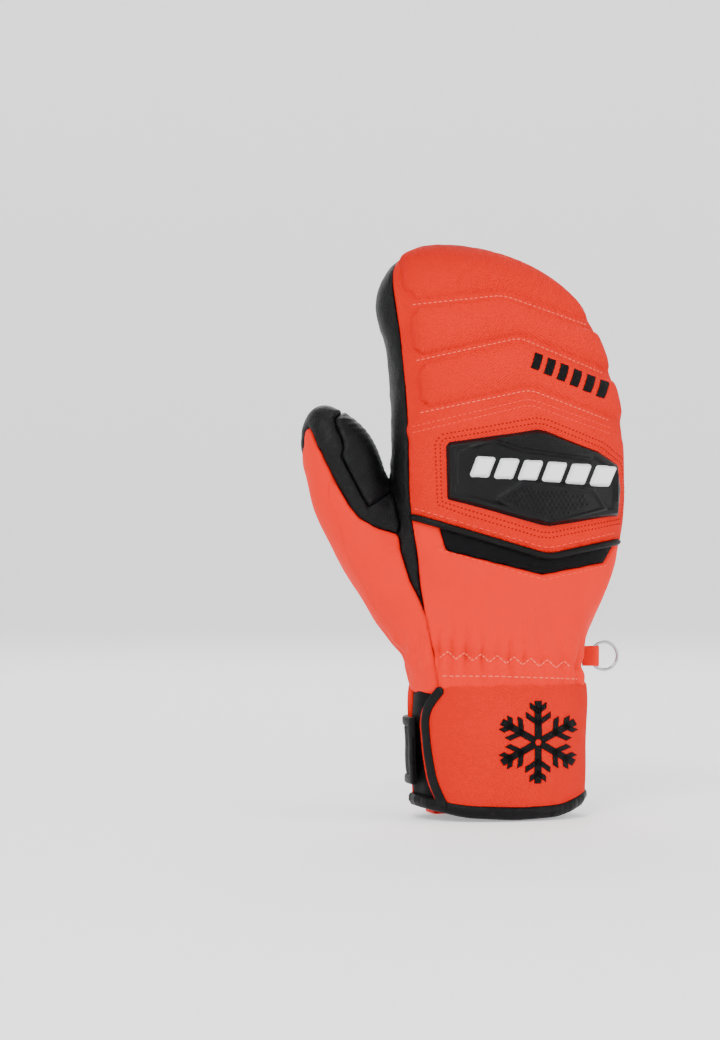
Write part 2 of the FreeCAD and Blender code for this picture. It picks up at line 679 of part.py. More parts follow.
loop_body, loop_sketch = body_with_sketch("pull_loop", "XY_Plane")
for number, edge in enumerate((-0.5, 0.5)):
    across = cells["loop_half_span"] + edge * cells["loop_ribbon"]
    reach = cells["loop_reach"] + edge * cells["loop_ribbon"]
    back = cells["loop_hinge_back"]
    bulge = Part.Arc(Vector(across, back, 0), Vector(0, back + reach, 0), Vector(-across, back, 0))
    loop_sketch.addGeometry(bulge, False)
inner = cells["loop_half_span"] - 0.5 * cells["loop_ribbon"]
outer = cells["loop_half_span"] + 0.5 * cells["loop_ribbon"]
back = cells["loop_hinge_back"]
loop_sketch.addGeometry(Part.LineSegment(Vector(-inner, back, 0), Vector(-outer, back, 0)), False)
loop_sketch.addGeometry(Part.LineSegment(Vector(outer, back, 0), Vector(inner, back, 0)), False)
loop_pad = loop_body.newObject("PartDesign::Pad", "pull_loop_pad")
loop_pad.Profile = loop_sketch
loop_pad.setExpression("Length", "Sizes.loop_thick")
doc.recompute()
keep(loop_body, "pull_loop")

ends = []
for side, sign in (("left", "-1"), ("right", "1")):
    x = (
        f"{sign} * Sizes.loop_half_span - Sizes.loop_ribbon / 2",
        f"{sign} * Sizes.loop_half_span + Sizes.loop_ribbon / 2",
    )
    ends.append(block(f"end_{side}", x, ("13", "Sizes.loop_hinge_back - 0.9"), ("0", "Sizes.loop_thick")))
keep(fuse("pull_loop_ends", *ends), "pull_loop_ends")


def broken(thing):
    return any(word in thing.State for word in ("Invalid", "Error"))


def write_parts():
    """Checks every object and sub-part, then writes each sub-part's STEP file."""
    doc.recompute()
    faults = [thing.Name for thing in doc.Objects if broken(thing)]
    if faults:
        raise SystemExit(f"objects failed: {faults}")
    os.makedirs("parts", exist_ok=True)
    for old in os.listdir("parts"):
        os.remove(os.path.join("parts", old))
    for thing in kept:
        shape = thing.Shape
        if shape.isNull() or not shape.isValid() or not shape.Solids:
            raise SystemExit(f"{thing.Label} has no valid solid")
        shape.exportStep(f"parts/{thing.Label}.step")
        box = shape.BoundBox
        print(
            f"{thing.Label:26s} solids {len(shape.Solids)} volume {shape.Volume:9.1f}"
            f" x {box.XMin:7.1f}..{box.XMax:6.1f} y {box.YMin:6.1f}..{box.YMax:5.1f}"
            f" z {box.ZMin:6.1f}..{box.ZMax:6.1f}"
        )


write_parts()
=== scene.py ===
"""Ski mitten: sewn panels, quilted pads, moulded guard, cuff, strap and ring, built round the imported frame.

Lengths are in millimetres until a mesh is made. Pattern curves are given as (across, up) in the plane
that the camera faces, through the middle of the cuff's mouth, because the back of the hand is laid out
square to it.
"""

import math

import bpy
import numpy as np
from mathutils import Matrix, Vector
from mathutils.bvhtree import BVHTree
from mathutils.kdtree import KDTree


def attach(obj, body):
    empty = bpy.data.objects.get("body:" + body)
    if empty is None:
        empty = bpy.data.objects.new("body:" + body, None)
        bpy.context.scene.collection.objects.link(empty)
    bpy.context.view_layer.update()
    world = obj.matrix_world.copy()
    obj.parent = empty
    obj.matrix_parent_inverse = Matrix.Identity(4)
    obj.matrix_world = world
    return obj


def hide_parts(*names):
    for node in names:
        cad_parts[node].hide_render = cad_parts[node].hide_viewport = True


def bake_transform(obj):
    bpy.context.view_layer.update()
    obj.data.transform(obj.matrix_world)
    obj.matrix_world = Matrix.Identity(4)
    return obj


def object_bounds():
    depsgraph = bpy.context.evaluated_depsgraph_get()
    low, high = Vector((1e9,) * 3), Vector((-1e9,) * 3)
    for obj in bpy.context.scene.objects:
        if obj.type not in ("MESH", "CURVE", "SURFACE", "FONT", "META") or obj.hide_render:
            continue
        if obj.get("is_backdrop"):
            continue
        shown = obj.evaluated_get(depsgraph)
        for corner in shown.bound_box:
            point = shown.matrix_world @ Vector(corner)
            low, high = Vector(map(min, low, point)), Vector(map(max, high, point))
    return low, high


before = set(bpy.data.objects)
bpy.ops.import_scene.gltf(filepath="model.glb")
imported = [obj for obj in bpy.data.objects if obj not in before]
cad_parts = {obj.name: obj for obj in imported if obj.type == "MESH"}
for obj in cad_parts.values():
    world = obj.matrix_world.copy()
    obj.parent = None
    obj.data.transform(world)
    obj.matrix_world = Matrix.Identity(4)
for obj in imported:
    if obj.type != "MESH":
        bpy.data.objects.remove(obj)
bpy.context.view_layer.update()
MM = 0.001

# --- camera, and the plane it faces ---------------------------------
LENS, SENSOR = 100.0, 36.0
FRAME_HEIGHT = 520.0
DISTANCE = LENS / SENSOR * FRAME_HEIGHT
AZIMUTH = math.radians(-15)
RIGHT = np.array([math.cos(AZIMUTH), math.sin(AZIMUTH), 0.0])
AHEAD = np.array([-math.sin(AZIMUTH), math.cos(AZIMUTH), 0.0])
UP = np.array([0.0, 0.0, 1.0])
ASIDE, LEVEL = 68.75, 147.5
EYE = -DISTANCE * AHEAD - ASIDE * RIGHT + LEVEL * UP


def seen(skin):
    """Where the camera sees each point of a skin: across and up in the pattern plane."""
    away = skin.co - EYE
    scale = DISTANCE / (away @ AHEAD)
    return (away @ RIGHT) * scale - ASIDE, (away @ UP) * scale + LEVEL


def sight(across, up):
    """The direction from the camera through a point of the pattern plane."""
    line = DISTANCE * AHEAD + (across + ASIDE) * RIGHT + (up - LEVEL) * UP
    return line / np.linalg.norm(line)


# --- small helpers --------------------------------------------------
def ramp(value, low, high):
    """0 below low, 1 above high, and smooth between."""
    t = np.clip((value - low) / (high - low), 0, 1)
    return t * t * (3 - 2 * t)


def bell(value, width):
    """1 at 0, falling away smoothly on both sides."""
    return np.exp(-((value / width) ** 2))


def line_through(points, soften=0.0):
    """A function through (input, output) points, with its corners rounded over the given length."""
    xs, ys = np.array(sorted(points), float).T

    def follow(value):
        if soften == 0:
            return np.interp(value, xs, ys)
        steps = (-1, -0.6, -0.2, 0.2, 0.6, 1)
        return sum(np.interp(value + k * soften, xs, ys) for k in steps) / len(steps)

    return follow


def circle(count):
    """Angles evenly round a circle."""
    return np.linspace(0, 2 * math.pi, count, endpoint=False)


def added(name, data):
    """A new object in the scene."""
    made = bpy.data.objects.new(name, data)
    bpy.context.collection.objects.link(made)
    return made


def unit(v):
    return v / np.maximum(np.linalg.norm(v, axis=-1, keepdims=True), 1e-9)


def waves(co, length, seed, rise=1.0):
    """Smooth noise of about -1 to 1, with features about that length across; a small rise makes them tall."""
    rng = np.random.default_rng(seed)
    co = co * np.array([1, 1, rise])
    total = np.zeros(len(co))
    count = 10
    for _ in range(count):
        way = unit(rng.normal(size=3))
        total += np.sin(co @ way * (2 * math.pi / (length * rng.uniform(0.7, 1.6))) + rng.uniform(0, 6.28))
    return total / math.sqrt(count)


def polygon_depth(a, b, corners):
    """How far each (a, b) is inside a closed outline; negative outside it."""
    corners = np.array(corners, float)
    inside = np.zeros(np.shape(a), bool)
    for (x0, y0), (x1, y1) in zip(corners, np.roll(corners, -1, 0)):
        if y0 != y1:
            inside ^= ((y0 > b) != (y1 > b)) & (a < x0 + (b - y0) * (x1 - x0) / (y1 - y0))
    far = path_depth(a, b, np.vstack([corners, corners[:1]]))
    return np.where(inside, far, -far)


def rounded_depth(a, b, corners, radius):
    """polygon_depth with the outline's corners rounded."""
    corners = np.array(corners, float)
    middle = corners.mean(0)
    inward = middle + (corners - middle) * (
        1 - radius / np.linalg.norm(corners - middle, axis=1, keepdims=True)
    )
    return polygon_depth(a, b, inward) + radius * 0.8


def path_depth(a, b, points):
    """Distance from each (a, b) to a line through the points."""
    far = np.full(np.shape(a), 1e9)
    for (x0, y0), (x1, y1) in zip(points, points[1:]):
        ex, ey = x1 - x0, y1 - y0
        t = np.clip(((a - x0) * ex + (b - y0) * ey) / (ex * ex + ey * ey), 0, 1)
        far = np.minimum(far, np.hypot(a - x0 - t * ex, b - y0 - t * ey))
    return far


def depth_in(skin, corners, radius=0.0):
    """How far inside an outline of the pattern each point of a skin is; the corners may be rounded."""
    a, b = seen(skin)
    return rounded_depth(a, b, corners, radius) if radius else polygon_depth(a, b, corners)


# --- the forms that everything is cut from --------------------------
class Form:
    """A tube of rounded sections whose middle and half sizes follow its height, with a dome on top."""

    def __init__(self, stations, squareness, dome=None):
        table = np.array(stations, float)
        self.square = squareness
        self.dome = dome
        if dome:
            base, self.rise, x, width, y, depth, self.lean_x, self.lean_y = dome
            table = np.vstack([table, (base, x, width, y, depth)])
        self.z, self.values = table[:, 0], table[:, 1:]
        self.slopes = np.gradient(self.values, self.z, axis=0)
        if dome:
            self.slopes[-1] = (self.lean_x / 2 / self.rise, 0, self.lean_y / 2 / self.rise, 0)

    def section(self, z):
        """Middle across, half width, middle in depth and half depth, without the dome's narrowing."""
        z = np.asarray(z, float)
        low = np.clip(z, self.z[0], self.z[-1])
        i = np.clip(np.searchsorted(self.z, low) - 1, 0, len(self.z) - 2)
        span = (self.z[i + 1] - self.z[i])[..., None]
        t = (low - self.z[i])[..., None] / span
        a, b = self.values[i], self.values[i + 1]
        sa, sb = self.slopes[i] * span, self.slopes[i + 1] * span
        found = a + t * sa + t * t * (3 * (b - a) - 2 * sa - sb) + t**3 * (2 * (a - b) + sa + sb)
        x, width, y, depth = np.moveaxis(found, -1, 0)
        if self.dome:
            half = np.arcsin(np.clip((z - self.z[-1]) / self.rise, 0, 1)) / 2
            x = x + self.lean_x * np.sin(half)
            y = y + self.lean_y * np.sin(half)
        return x, width, y, depth

    def reach(self, co):
        """1 on the surface, less inside it and more outside."""
        x, width, y, depth = self.section(co[:, 2])
        n = self.square
        flat = (np.abs((co[:, 0] - x) / width) ** n + np.abs((co[:, 1] - y) / depth) ** n) ** (1 / n)
        if not self.dome:
            return flat
        return np.hypot(flat, np.clip((co[:, 2] - self.z[-1]) / self.rise, 0, None))

    def distance(self, co):
        """About how far outside the surface each point is."""
        here = self.reach(co)
        slope = gradient(self.reach, co, here)
        return (here - 1) / np.maximum(np.linalg.norm(slope, axis=1), 1e-4)

    def point(self, angle, z, lift=0.0):
        """The surface point at an angle round the section (0 at +X, a quarter turn at the palm)."""
        x, width, y, depth = self.section(z)
        c, s = np.cos(angle), np.sin(angle)
        k = (np.abs(c) ** self.square + np.abs(s) ** self.square) ** (-1 / self.square)
        z = np.broadcast_to(z, np.shape(x + k))
        return np.stack([x + (width + lift) * c * k, y + (depth + lift) * s * k, z], -1)

    def rings(self, low, step, columns):
        """Rings of points on the surface, from a height up to the top of the dome."""
        top = self.z[-1]
        heights = list(np.arange(low, top, step))
        shrink = [1.0] * len(heights)
        if self.dome:
            for phi in np.linspace(0, math.radians(88), 40):
                heights.append(top + self.rise * math.sin(phi))
                shrink.append(math.cos(phi))
        angle = circle(columns)
        rows = []
        for z, k in zip(heights, shrink):
            ring = self.point(angle, np.full(columns, z))
            x, _, y, _ = self.section(z)
            ring[:, 0] = x + (ring[:, 0] - x) * k
            ring[:, 1] = y + (ring[:, 1] - y) * k
            rows.append(ring)
        return rows


def gradient(field, co, here):
    step = 0.05
    slope = np.empty_like(co)
    for axis in range(3):
        moved = co.copy()
        moved[:, axis] += step
        slope[:, axis] = (field(moved) - here) / step
    return slope


HAND_STATIONS = [
    (56, 0, 44, 0, 27), (66, 0, 43.5, 0, 26.5), (78, 0, 43, 0, 25), (108, 4, 48.5, 0, 27),
    (140, 6, 56.5, 0, 28.5), (175, 5.5, 59, 0, 28), (210, 3.5, 57.5, 1.5, 26.5)
]
HAND_DOME = (240, 43.5, -3, 54.5, 4, 24.5, -34, 8)
THUMB_STATIONS = [
    (60, -18, 14, 3, 13), (72, -22, 18, 3, 17), (88, -31, 21, 6, 20), (108, -44, 22, 9, 20),
    (130, -57, 22.5, 11, 20), (152, -67.5, 21.5, 13, 19)
]
THUMB_DOME = (172, 31, -75.5, 19, 15, 17.5, -14, 2)
CUFF_STATIONS = [(0, 0, 42, 0, 28), (30, 0, 43.5, 0, 29), (66, 0, 43.8, 0, 28), (72, 0, 43, 0, 27)]
hand = Form(HAND_STATIONS, 2.35, HAND_DOME)
thumb = Form(THUMB_STATIONS, 2.15, THUMB_DOME)
cuff = Form(CUFF_STATIONS, 2.2)
FILLET = 9.0


def shell(co):
    """Distance outside the hand and thumb together, with the corner between them rounded."""
    f1, f2 = hand.distance(co), thumb.distance(co)
    mix = np.clip(0.5 + 0.5 * (f2 - f1) / FILLET, 0, 1)
    return f2 * (1 - mix) + f1 * mix - FILLET * mix * (1 - mix)


# --- skins: cut pieces of a form ------------------------------------
class Skin:
    """A triangle surface with an outward normal at each point."""

    def __init__(self, co, normal, tris):
        self.co, self.normal, self.tris = co, normal, tris

    @property
    def x(self):
        return self.co[:, 0]

    @property
    def y(self):
        return self.co[:, 1]

    @property
    def z(self):
        return self.co[:, 2]

    def split(self, value):
        """Cuts along value = 0 and returns the side above it and the side below."""
        value = np.where(np.abs(value) < 0.12, 0.0, value)
        return self._side(value), self._side(-value)

    def keep(self, value):
        return self.split(value)[0]

    def _side(self, value):
        inside = value >= 0
        count = inside[self.tris].sum(1)
        whole = self.tris[count == 3]
        one, two = self.tris[count == 1], self.tris[count == 2]
        one = turned(one, np.argmax(inside[one], 1)) if len(one) else one
        two = turned(two, np.argmin(inside[two], 1)) if len(two) else two
        starts = np.concatenate([one[:, 0], one[:, 0], two[:, 1], two[:, 2]])
        ends = np.concatenate([one[:, 1], one[:, 2], two[:, 0], two[:, 0]])
        size = len(self.co)
        keys, back = np.unique(starts.astype(np.int64) * size + ends, return_inverse=True)
        a, b = keys // size, keys % size
        t = value[a] / (value[a] - value[b])
        t = t[:, None]
        co = np.vstack([self.co, self.co[a] + (self.co[b] - self.co[a]) * t])
        normal = np.vstack([self.normal, unit(self.normal[a] + (self.normal[b] - self.normal[a]) * t)])
        made = np.where(value[a] == 0, a, size + np.arange(len(a)))[back]
        n1, n2 = len(one), len(two)
        p, q, u, v = made[:n1], made[n1 : 2 * n1], made[2 * n1 : 2 * n1 + n2], made[2 * n1 + n2 :]
        tris = np.vstack(
            [
                whole, np.stack([one[:, 0], p, q], 1), np.stack([two[:, 1], two[:, 2], v], 1),
                np.stack([two[:, 1], v, u], 1)
            ]
        )
        good = (tris[:, 0] != tris[:, 1]) & (tris[:, 1] != tris[:, 2]) & (tris[:, 2] != tris[:, 0])
        tris = tris[good]
        used, new = np.unique(tris, return_inverse=True)
        return Skin(co[used], normal[used], new.reshape(-1, 3))

    def finer(self):
        """Each triangle in four."""
        size = len(self.co)
        pairs = np.sort(sides_of(self.tris), 1)
        keys, back = np.unique(pairs[:, 0].astype(np.int64) * size + pairs[:, 1], return_inverse=True)
        a, b = keys // size, keys % size
        co = np.vstack([self.co, (self.co[a] + self.co[b]) / 2])
        normal = np.vstack([self.normal, unit(self.normal[a] + self.normal[b])])
        m = size + back.reshape(3, -1)
        t = self.tris
        tris = np.vstack(
            [
                np.stack([t[:, 0], m[0], m[2]], 1), np.stack([t[:, 1], m[1], m[0]], 1),
                np.stack([t[:, 2], m[2], m[1]], 1), np.stack([m[0], m[1], m[2]], 1)
            ]
        )
        return Skin(co, normal, tris)

    def rim(self):
        """The directed edges that only one triangle has."""
        edges = sides_of(self.tris).astype(np.int64)
        size = len(self.co)
        forward, backward = edges[:, 0] * size + edges[:, 1], edges[:, 1] * size + edges[:, 0]
        return edges[~np.isin(forward, backward)]

    def edge_distance(self, most=14.0):
        """Distance from each point to the nearest edge of the piece."""
        rim = self.rim()
        marks = np.vstack([self.co[rim[:, 0]], (self.co[rim[:, 0]] + self.co[rim[:, 1]]) / 2])
        tree = KDTree(len(marks))
        for i, mark in enumerate(marks):
            tree.insert(mark, i)
        tree.balance()
        return np.minimum([tree.find(p)[2] for p in self.co], most)

    def lifted(self, height):
        return Skin(self.co + self.normal * np.asarray(height).reshape(-1, 1), self.normal, self.tris)


def sides_of(tris):
    return np.vstack([tris[:, [0, 1]], tris[:, [1, 2]], tris[:, [2, 0]]])


def closed(skin):
    """Triangles of a skin, its second face, whose points follow the first's, and the wall between them."""
    rim, count = skin.rim(), len(skin.co)
    wall_low = np.stack([rim[:, 1], rim[:, 0], rim[:, 0] + count], 1)
    wall_high = np.stack([rim[:, 1], rim[:, 0] + count, rim[:, 1] + count], 1)
    return np.vstack([skin.tris, skin.tris[:, ::-1] + count, wall_low, wall_high])


def turned(tris, first):
    rows = np.arange(len(tris))
    return np.stack([tris[rows, (first + k) % 3] for k in range(3)], 1)


def joined_rings(rows, cap_low=False, cap_high=False):
    """Triangles between rings of equal length, with the ends closed if asked."""
    columns = len(rows[0])
    co = np.vstack(rows)
    i = np.arange(columns)
    j = (i + 1) % columns
    tris = []
    for r in range(len(rows) - 1):
        a, b = r * columns, (r + 1) * columns
        tris += [np.stack([a + i, a + j, b + j], 1), np.stack([a + i, b + j, b + i], 1)]
    for wanted, ring, flip in ((cap_low, 0, True), (cap_high, len(rows) - 1, False)):
        if wanted:
            co = np.vstack([co, rows[ring].mean(0)])
            fan = np.stack([ring * columns + i, ring * columns + j, np.full(columns, len(co) - 1)], 1)
            tris.append(fan[:, ::-1] if flip else fan)
    return co, np.vstack(tris)


def gathered(parts):
    """Several meshes as one."""
    co, tris, count = [], [], 0
    for c, f in parts:
        co.append(c)
        tris.append(f + count)
        count += len(c)
    return np.vstack(co), np.vstack(tris)


VOXEL = 1.25


def mitten_skin():
    """The hand and thumb in one even surface, settled onto the shell's own shape."""
    tubes = [joined_rings(form.rings(low, 2.0, 160), True, True) for form, low in ((hand, 58), (thumb, 74))]
    co, tris = gathered(tubes)
    mesh = bpy.data.meshes.new("rough")
    mesh.from_pydata(co.tolist(), [], tris.tolist())
    rough = added("rough", mesh)
    remesh = rough.modifiers.new("remesh", "REMESH")
    remesh.mode = "VOXEL"
    remesh.voxel_size = VOXEL
    even = bpy.data.meshes.new_from_object(rough.evaluated_get(bpy.context.evaluated_depsgraph_get()))
    bpy.data.objects.remove(rough)
    co = np.empty(len(even.vertices) * 3)
    even.vertices.foreach_get("co", co)
    co = co.reshape(-1, 3)
    even.calc_loop_triangles()
    tris = np.empty(len(even.loop_triangles) * 3, np.int32)
    even.loop_triangles.foreach_get("vertices", tris)
    bpy.data.meshes.remove(even)
    skin = Skin(co, co * 0, tris.reshape(-1, 3).astype(np.int64)).keep(co[:, 2] - 62)
    co = skin.co
    for _ in range(5):
        here = shell(co)
        slope = gradient(shell, co, here)
        move = slope * (here / np.maximum((slope**2).sum(1), 0.05))[:, None]
        size = np.linalg.norm(move, axis=1, keepdims=True)
        co = co - move * np.minimum(1, 1.5 / np.maximum(size, 1e-6))
    normal = unit(gradient(shell, co, shell(co)))
    return Skin(co, normal, skin.tris)


CUFF_TOP = 66.0


def cuff_skin(low=0.0, high=CUFF_TOP, step=1.1, columns=230):
    heights = np.arange(low, high + step, step)
    angle = circle(columns)
    co, tris = joined_rings([cuff.point(angle, np.full(columns, z)) for z in heights])
    return Skin(co, unit(gradient(cuff.reach, co, cuff.reach(co))), tris)


# --- materials ------------------------------------------------------
def material(
    name, colour, roughness, bumps=(), mottle=0.06, mottle_size=25.0, sheen=0.0, coat=0.0, metallic=0.0,
    specular=0.07
):
    """A material with varied colour and layers of fine relief: (kind, size in mm, height in mm)."""
    made = bpy.data.materials.new(name)
    made.use_nodes = True
    nodes, links = made.node_tree.nodes, made.node_tree.links
    shader = nodes["Principled BSDF"]
    for key, value in (
        ("Metallic", metallic), ("Sheen Weight", sheen), ("Sheen Roughness", 0.4),
        ("Sheen Tint", (*colour, 1)), ("Specular IOR Level", specular), ("Coat Weight", coat),
        ("Coat Roughness", 0.25)
    ):
        shader.inputs[key].default_value = value

    def node(kind, **values):
        made_node = nodes.new(kind)
        for key, value in values.items():
            if key in made_node.inputs:
                made_node.inputs[key].default_value = value
            else:
                setattr(made_node, key, value)
        return made_node

    place = node("ShaderNodeTexCoord")
    grid = node("ShaderNodeUVMap", uv_map="cloth")

    def maths(operation, socket, number=None):
        sum_node = node("ShaderNodeMath", operation=operation)
        links.new(socket, sum_node.inputs[0])
        if number is not None:
            sum_node.inputs[1].default_value = number
        return sum_node.outputs[0]

    def noise(size):
        texture = node("ShaderNodeTexNoise", Scale=1000.0 / size, Detail=3.0)
        links.new(place.outputs["Object"], texture.inputs["Vector"])
        return texture.outputs["Fac"]

    def weave(size):
        apart = node("ShaderNodeSeparateXYZ")
        links.new(grid.outputs["UV"], apart.inputs[0])
        product = node("ShaderNodeMath", operation="MULTIPLY")
        for i in range(2):
            turns = maths("MULTIPLY", apart.outputs[i], 2 * math.pi / size)
            links.new(maths("SINE", turns), product.inputs[i])
        return product.outputs[0]

    def cells(size):
        texture = node("ShaderNodeTexVoronoi", Scale=1000.0 / size, feature="DISTANCE_TO_EDGE")
        links.new(place.outputs["Object"], texture.inputs["Vector"])
        return maths("MULTIPLY", maths("MINIMUM", texture.outputs["Distance"], 0.14), 7.0)

    makers = {"noise": noise, "weave": weave, "cells": cells}
    above = None
    for kind, size, height in bumps:
        bump = node("ShaderNodeBump", Strength=1.0, Distance=height * MM)
        links.new(makers[kind](size), bump.inputs["Height"])
        if above is not None:
            links.new(above, bump.inputs["Normal"])
        above = bump.outputs["Normal"]
    if above is not None:
        links.new(above, shader.inputs["Normal"])
    tint = node("ShaderNodeMix", data_type="RGBA", blend_type="MIX")
    colour = np.array(colour)
    tint.inputs[6].default_value = (*(colour * (1 - mottle)), 1)
    tint.inputs[7].default_value = (*np.minimum(colour * (1 + mottle), 1), 1)
    links.new(noise(mottle_size), tint.inputs[0])
    links.new(tint.outputs[2], shader.inputs["Base Color"])
    span = node("ShaderNodeMapRange")
    span.inputs["To Min"].default_value = roughness - 0.06
    span.inputs["To Max"].default_value = min(1.0, roughness + 0.06)
    links.new(noise(mottle_size / 4), span.inputs["Value"])
    links.new(span.outputs[0], shader.inputs["Roughness"])
    return made


RED = (0.76, 0.009, 0.0015)
BLACK = (0.003, 0.003, 0.0035)
THREAD = [("noise", 0.3, 0.05)]
red_soft = material("red_softshell", RED, 0.62, [("noise", 0.7, 0.05), ("weave", 0.7, 0.03)], sheen=0.25)
red_woven = material("red_woven", RED, 0.68, [("noise", 1.6, 0.1), ("weave", 1.3, 0.3)], sheen=0.3)
red_knit = material("red_knit", RED, 0.72, [("noise", 1.3, 0.12), ("weave", 1.1, 0.25)], sheen=0.3)
black_soft = material(
    "black_softshell", BLACK, 0.6, [("noise", 0.8, 0.05), ("weave", 0.8, 0.04)], 0.2, sheen=0.15
)
black_leather = material(
    "smooth_leather", (0.0025, 0.0026, 0.003), 0.4, [("cells", 1.5, 0.09), ("noise", 6.0, 0.12)], 0.15,
    specular=0.14
)
black_grip = material(
    "black_grip", (0.004, 0.004, 0.0045), 0.5, [("cells", 2.3, 0.38), ("noise", 0.6, 0.05)], 0.15
)
black_binding = material(
    "black_binding", (0.003, 0.003, 0.0033), 0.5, [("noise", 1.4, 0.08)], 0.15, specular=0.12
)
black_rubber = material(
    "black_rubber", (0.003, 0.003, 0.0033), 0.38, [("noise", 0.5, 0.02)], 0.1, specular=0.16
)
black_print = material("black_print", (0.004, 0.004, 0.0045), 0.55, [("weave", 1.0, 0.08)], 0.1)
# painted shade: a red darker than the cloth, standing in for the shade inside the needle holes round the
# guard
hole_shade_red = material("painted_hole_shade", (0.32, 0.006, 0.003), 0.8, THREAD, 0.1)
white_rubber = material(
    "white_rubber", (0.86, 0.86, 0.87), 0.38, [("noise", 0.9, 0.015)], 0.03, coat=0.15, specular=0.4
)
red_thread = material("red_thread", (0.88, 0.035, 0.018), 0.55, THREAD, 0.1, sheen=0.3)
pale_thread = material("pale_thread", (0.9, 0.11, 0.07), 0.55, THREAD, 0.1, sheen=0.3)
black_thread = material("black_thread", (0.006, 0.006, 0.007), 0.5, THREAD, 0.1)
red_web = material("red_webbing", (0.7, 0.008, 0.0015), 0.6, [("weave", 1.1, 0.25)], 0.08, sheen=0.3)
steel = material("steel", (0.4, 0.4, 0.42), 0.24, [("noise", 3.0, 0.01)], 0.04, metallic=1.0, specular=0.5)
loop_pile = material("loop_pile", BLACK, 0.85, [("noise", 0.9, 0.35)], 0.2, sheen=0.3)
lining_cloth = material("lining", (0.006, 0.006, 0.007), 0.85, [("noise", 1.0, 0.2)], 0.2, sheen=0.3)

# --- making pieces --------------------------------------------------
WRIST = ("cuff", "hand", (0, 0, 0.066), (0, 0, 0.090))
FINGERS = ("hand", "fingers", (0, -0.006, 0.182), (0, -0.006, 0.218))
THUMB_WAY = unit(np.array([-0.44, 0.10, 0.90]))
THUMB_MIDDLE, THUMB_REACH = np.array([-72.0, 13.0, 161.0]), 15
THUMB_TURN = (
    "hand", "thumb", tuple((THUMB_MIDDLE - THUMB_REACH * THUMB_WAY) * MM),
    tuple((THUMB_MIDDLE + THUMB_REACH * THUMB_WAY) * MM)
)
surfaces = []


CLOTH_RADIUS = 42


def cloth_grid(co):
    """Weave coordinates in millimetres: round the section, and up and over the dome."""
    up, top = co[:, 2], HAND_DOME[0]
    x, width, y, depth = hand.section(np.minimum(up, top))
    over = hand.rise * np.arcsin(np.clip((up - top) / hand.rise, 0, 1))
    angle = np.arctan2((co[:, 1] - y) / depth, (co[:, 0] - x) / width)
    return np.stack([angle * CLOTH_RADIUS, np.minimum(up, top) + over], 1)


def mesh_piece(name, co, tris, finish, crease=50):
    mesh = bpy.data.meshes.new(name)
    mesh.vertices.add(len(co))
    mesh.vertices.foreach_set("co", (co * MM).astype(np.float32).ravel())
    mesh.loops.add(len(tris) * 3)
    mesh.loops.foreach_set("vertex_index", tris.astype(np.int32).ravel())
    mesh.polygons.add(len(tris))
    mesh.polygons.foreach_set("loop_start", np.arange(0, len(tris) * 3, 3, dtype=np.int32))
    mesh.update(calc_edges=True)
    layer = mesh.uv_layers.new(name="cloth")
    layer.data.foreach_set("uv", cloth_grid(co)[tris.ravel()].astype(np.float32).ravel())
    mesh.validate()
    mesh.shade_smooth()
    mesh.set_sharp_from_angle(angle=math.radians(crease))
    mesh.materials.append(finish)
    return added(name, mesh)


def settle(piece, way, nodes=()):
    """Ties a finished piece to its body when given one by name, else bakes its placement into the mesh, and
    hides the CAD nodes it stands for.
    """
    if isinstance(way, str):
        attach(piece, way)
    else:
        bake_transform(piece)
    if nodes:
        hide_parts(*nodes)
    return piece


def panel(name, skin, height, thickness, finish, way, nodes=(), crease=50, mark=True):
    """A sewn piece: the skin lifted by height, and closed with a second face one thickness under it."""
    outer = skin.co + skin.normal * np.asarray(height).reshape(-1, 1)
    under = outer - skin.normal * thickness
    if mark:
        surfaces.append((outer, skin.tris))
    return settle(mesh_piece(name, np.vstack([outer, under]), closed(skin), finish, crease), way, nodes)


def rolled(distance, depth=1.3, width=1.5):
    """The way a sewn edge turns in towards its seam."""
    return -depth * np.clip(1 - distance / width, 0, 1) ** 2


def puffed(distance, height, width):
    return height * (1 - np.exp(-distance / width))


# --- pattern curves on the back: up to across, or across to up ------
BACK_EDGE = line_through(
    [
        (60, -29), (67.5, -30.2), (100, -36.2), (115, -38.8), (130, -40.2), (145, -42.8), (160, -44.2),
        (190, -44.8), (212, -46.2), (242, -49.2), (265, -52.7), (273, -52.7), (280, -47.5), (284, -38)
    ],
    3
)
THUMB_EDGE = line_through(
    [
        (60, -29), (67.5, -30.2), (88, -33.6), (97.5, -35.4), (106, -38.5), (117, -43.9), (132, -48.4),
        (139, -49.3), (141.5, -51), (143, -60), (148.5, -69), (155, -74.5), (166, -81), (173, -84.4),
        (186, -91.2), (197.5, -95.5), (210, -97)
    ],
    1.0
)
THUMB_EDGE_PALM = line_through(
    [
        (60, -3), (67, -4), (89, -7), (97.5, -14), (109.5, -29), (124.5, -42), (150, -63), (168, -75),
        (177, -90), (183, -120)
    ],
    3
)
PAD_FOOT = line_through([(-60, 198.5), (-39.2, 202.2), (16.5, 213.8), (57.7, 197.7), (70, 193)], 3.5)
DOUBLE_STITCH = line_through([(-60, 188), (-44.8, 192), (16.3, 206.6), (57.7, 191.5), (70, 187)], 3.5)
PAD_MIDDLE = line_through([(-60, 225), (-40.4, 228.6), (11.2, 240), (55.5, 221), (70, 215)], 3.5)
PAD_TOP = line_through([(-60, 254), (-43, 256.5), (2.8, 261.3), (41.5, 247.5), (70, 236)], 4)
BAND_BACK = line_through([(-60, 83), (70, 72)])
BAND_PALM = line_through([(-60, 86), (60, 69.8)])
PIPING = line_through([(-60, 152), (-43.2, 149.5), (-37, 147.8), (24.8, 129.0), (60.5, 137.2), (75, 140)], 4)


def towards_palm(skin):
    """How far each point is on the palm side of the middle of its section."""
    return skin.y - hand.section(skin.z)[2]


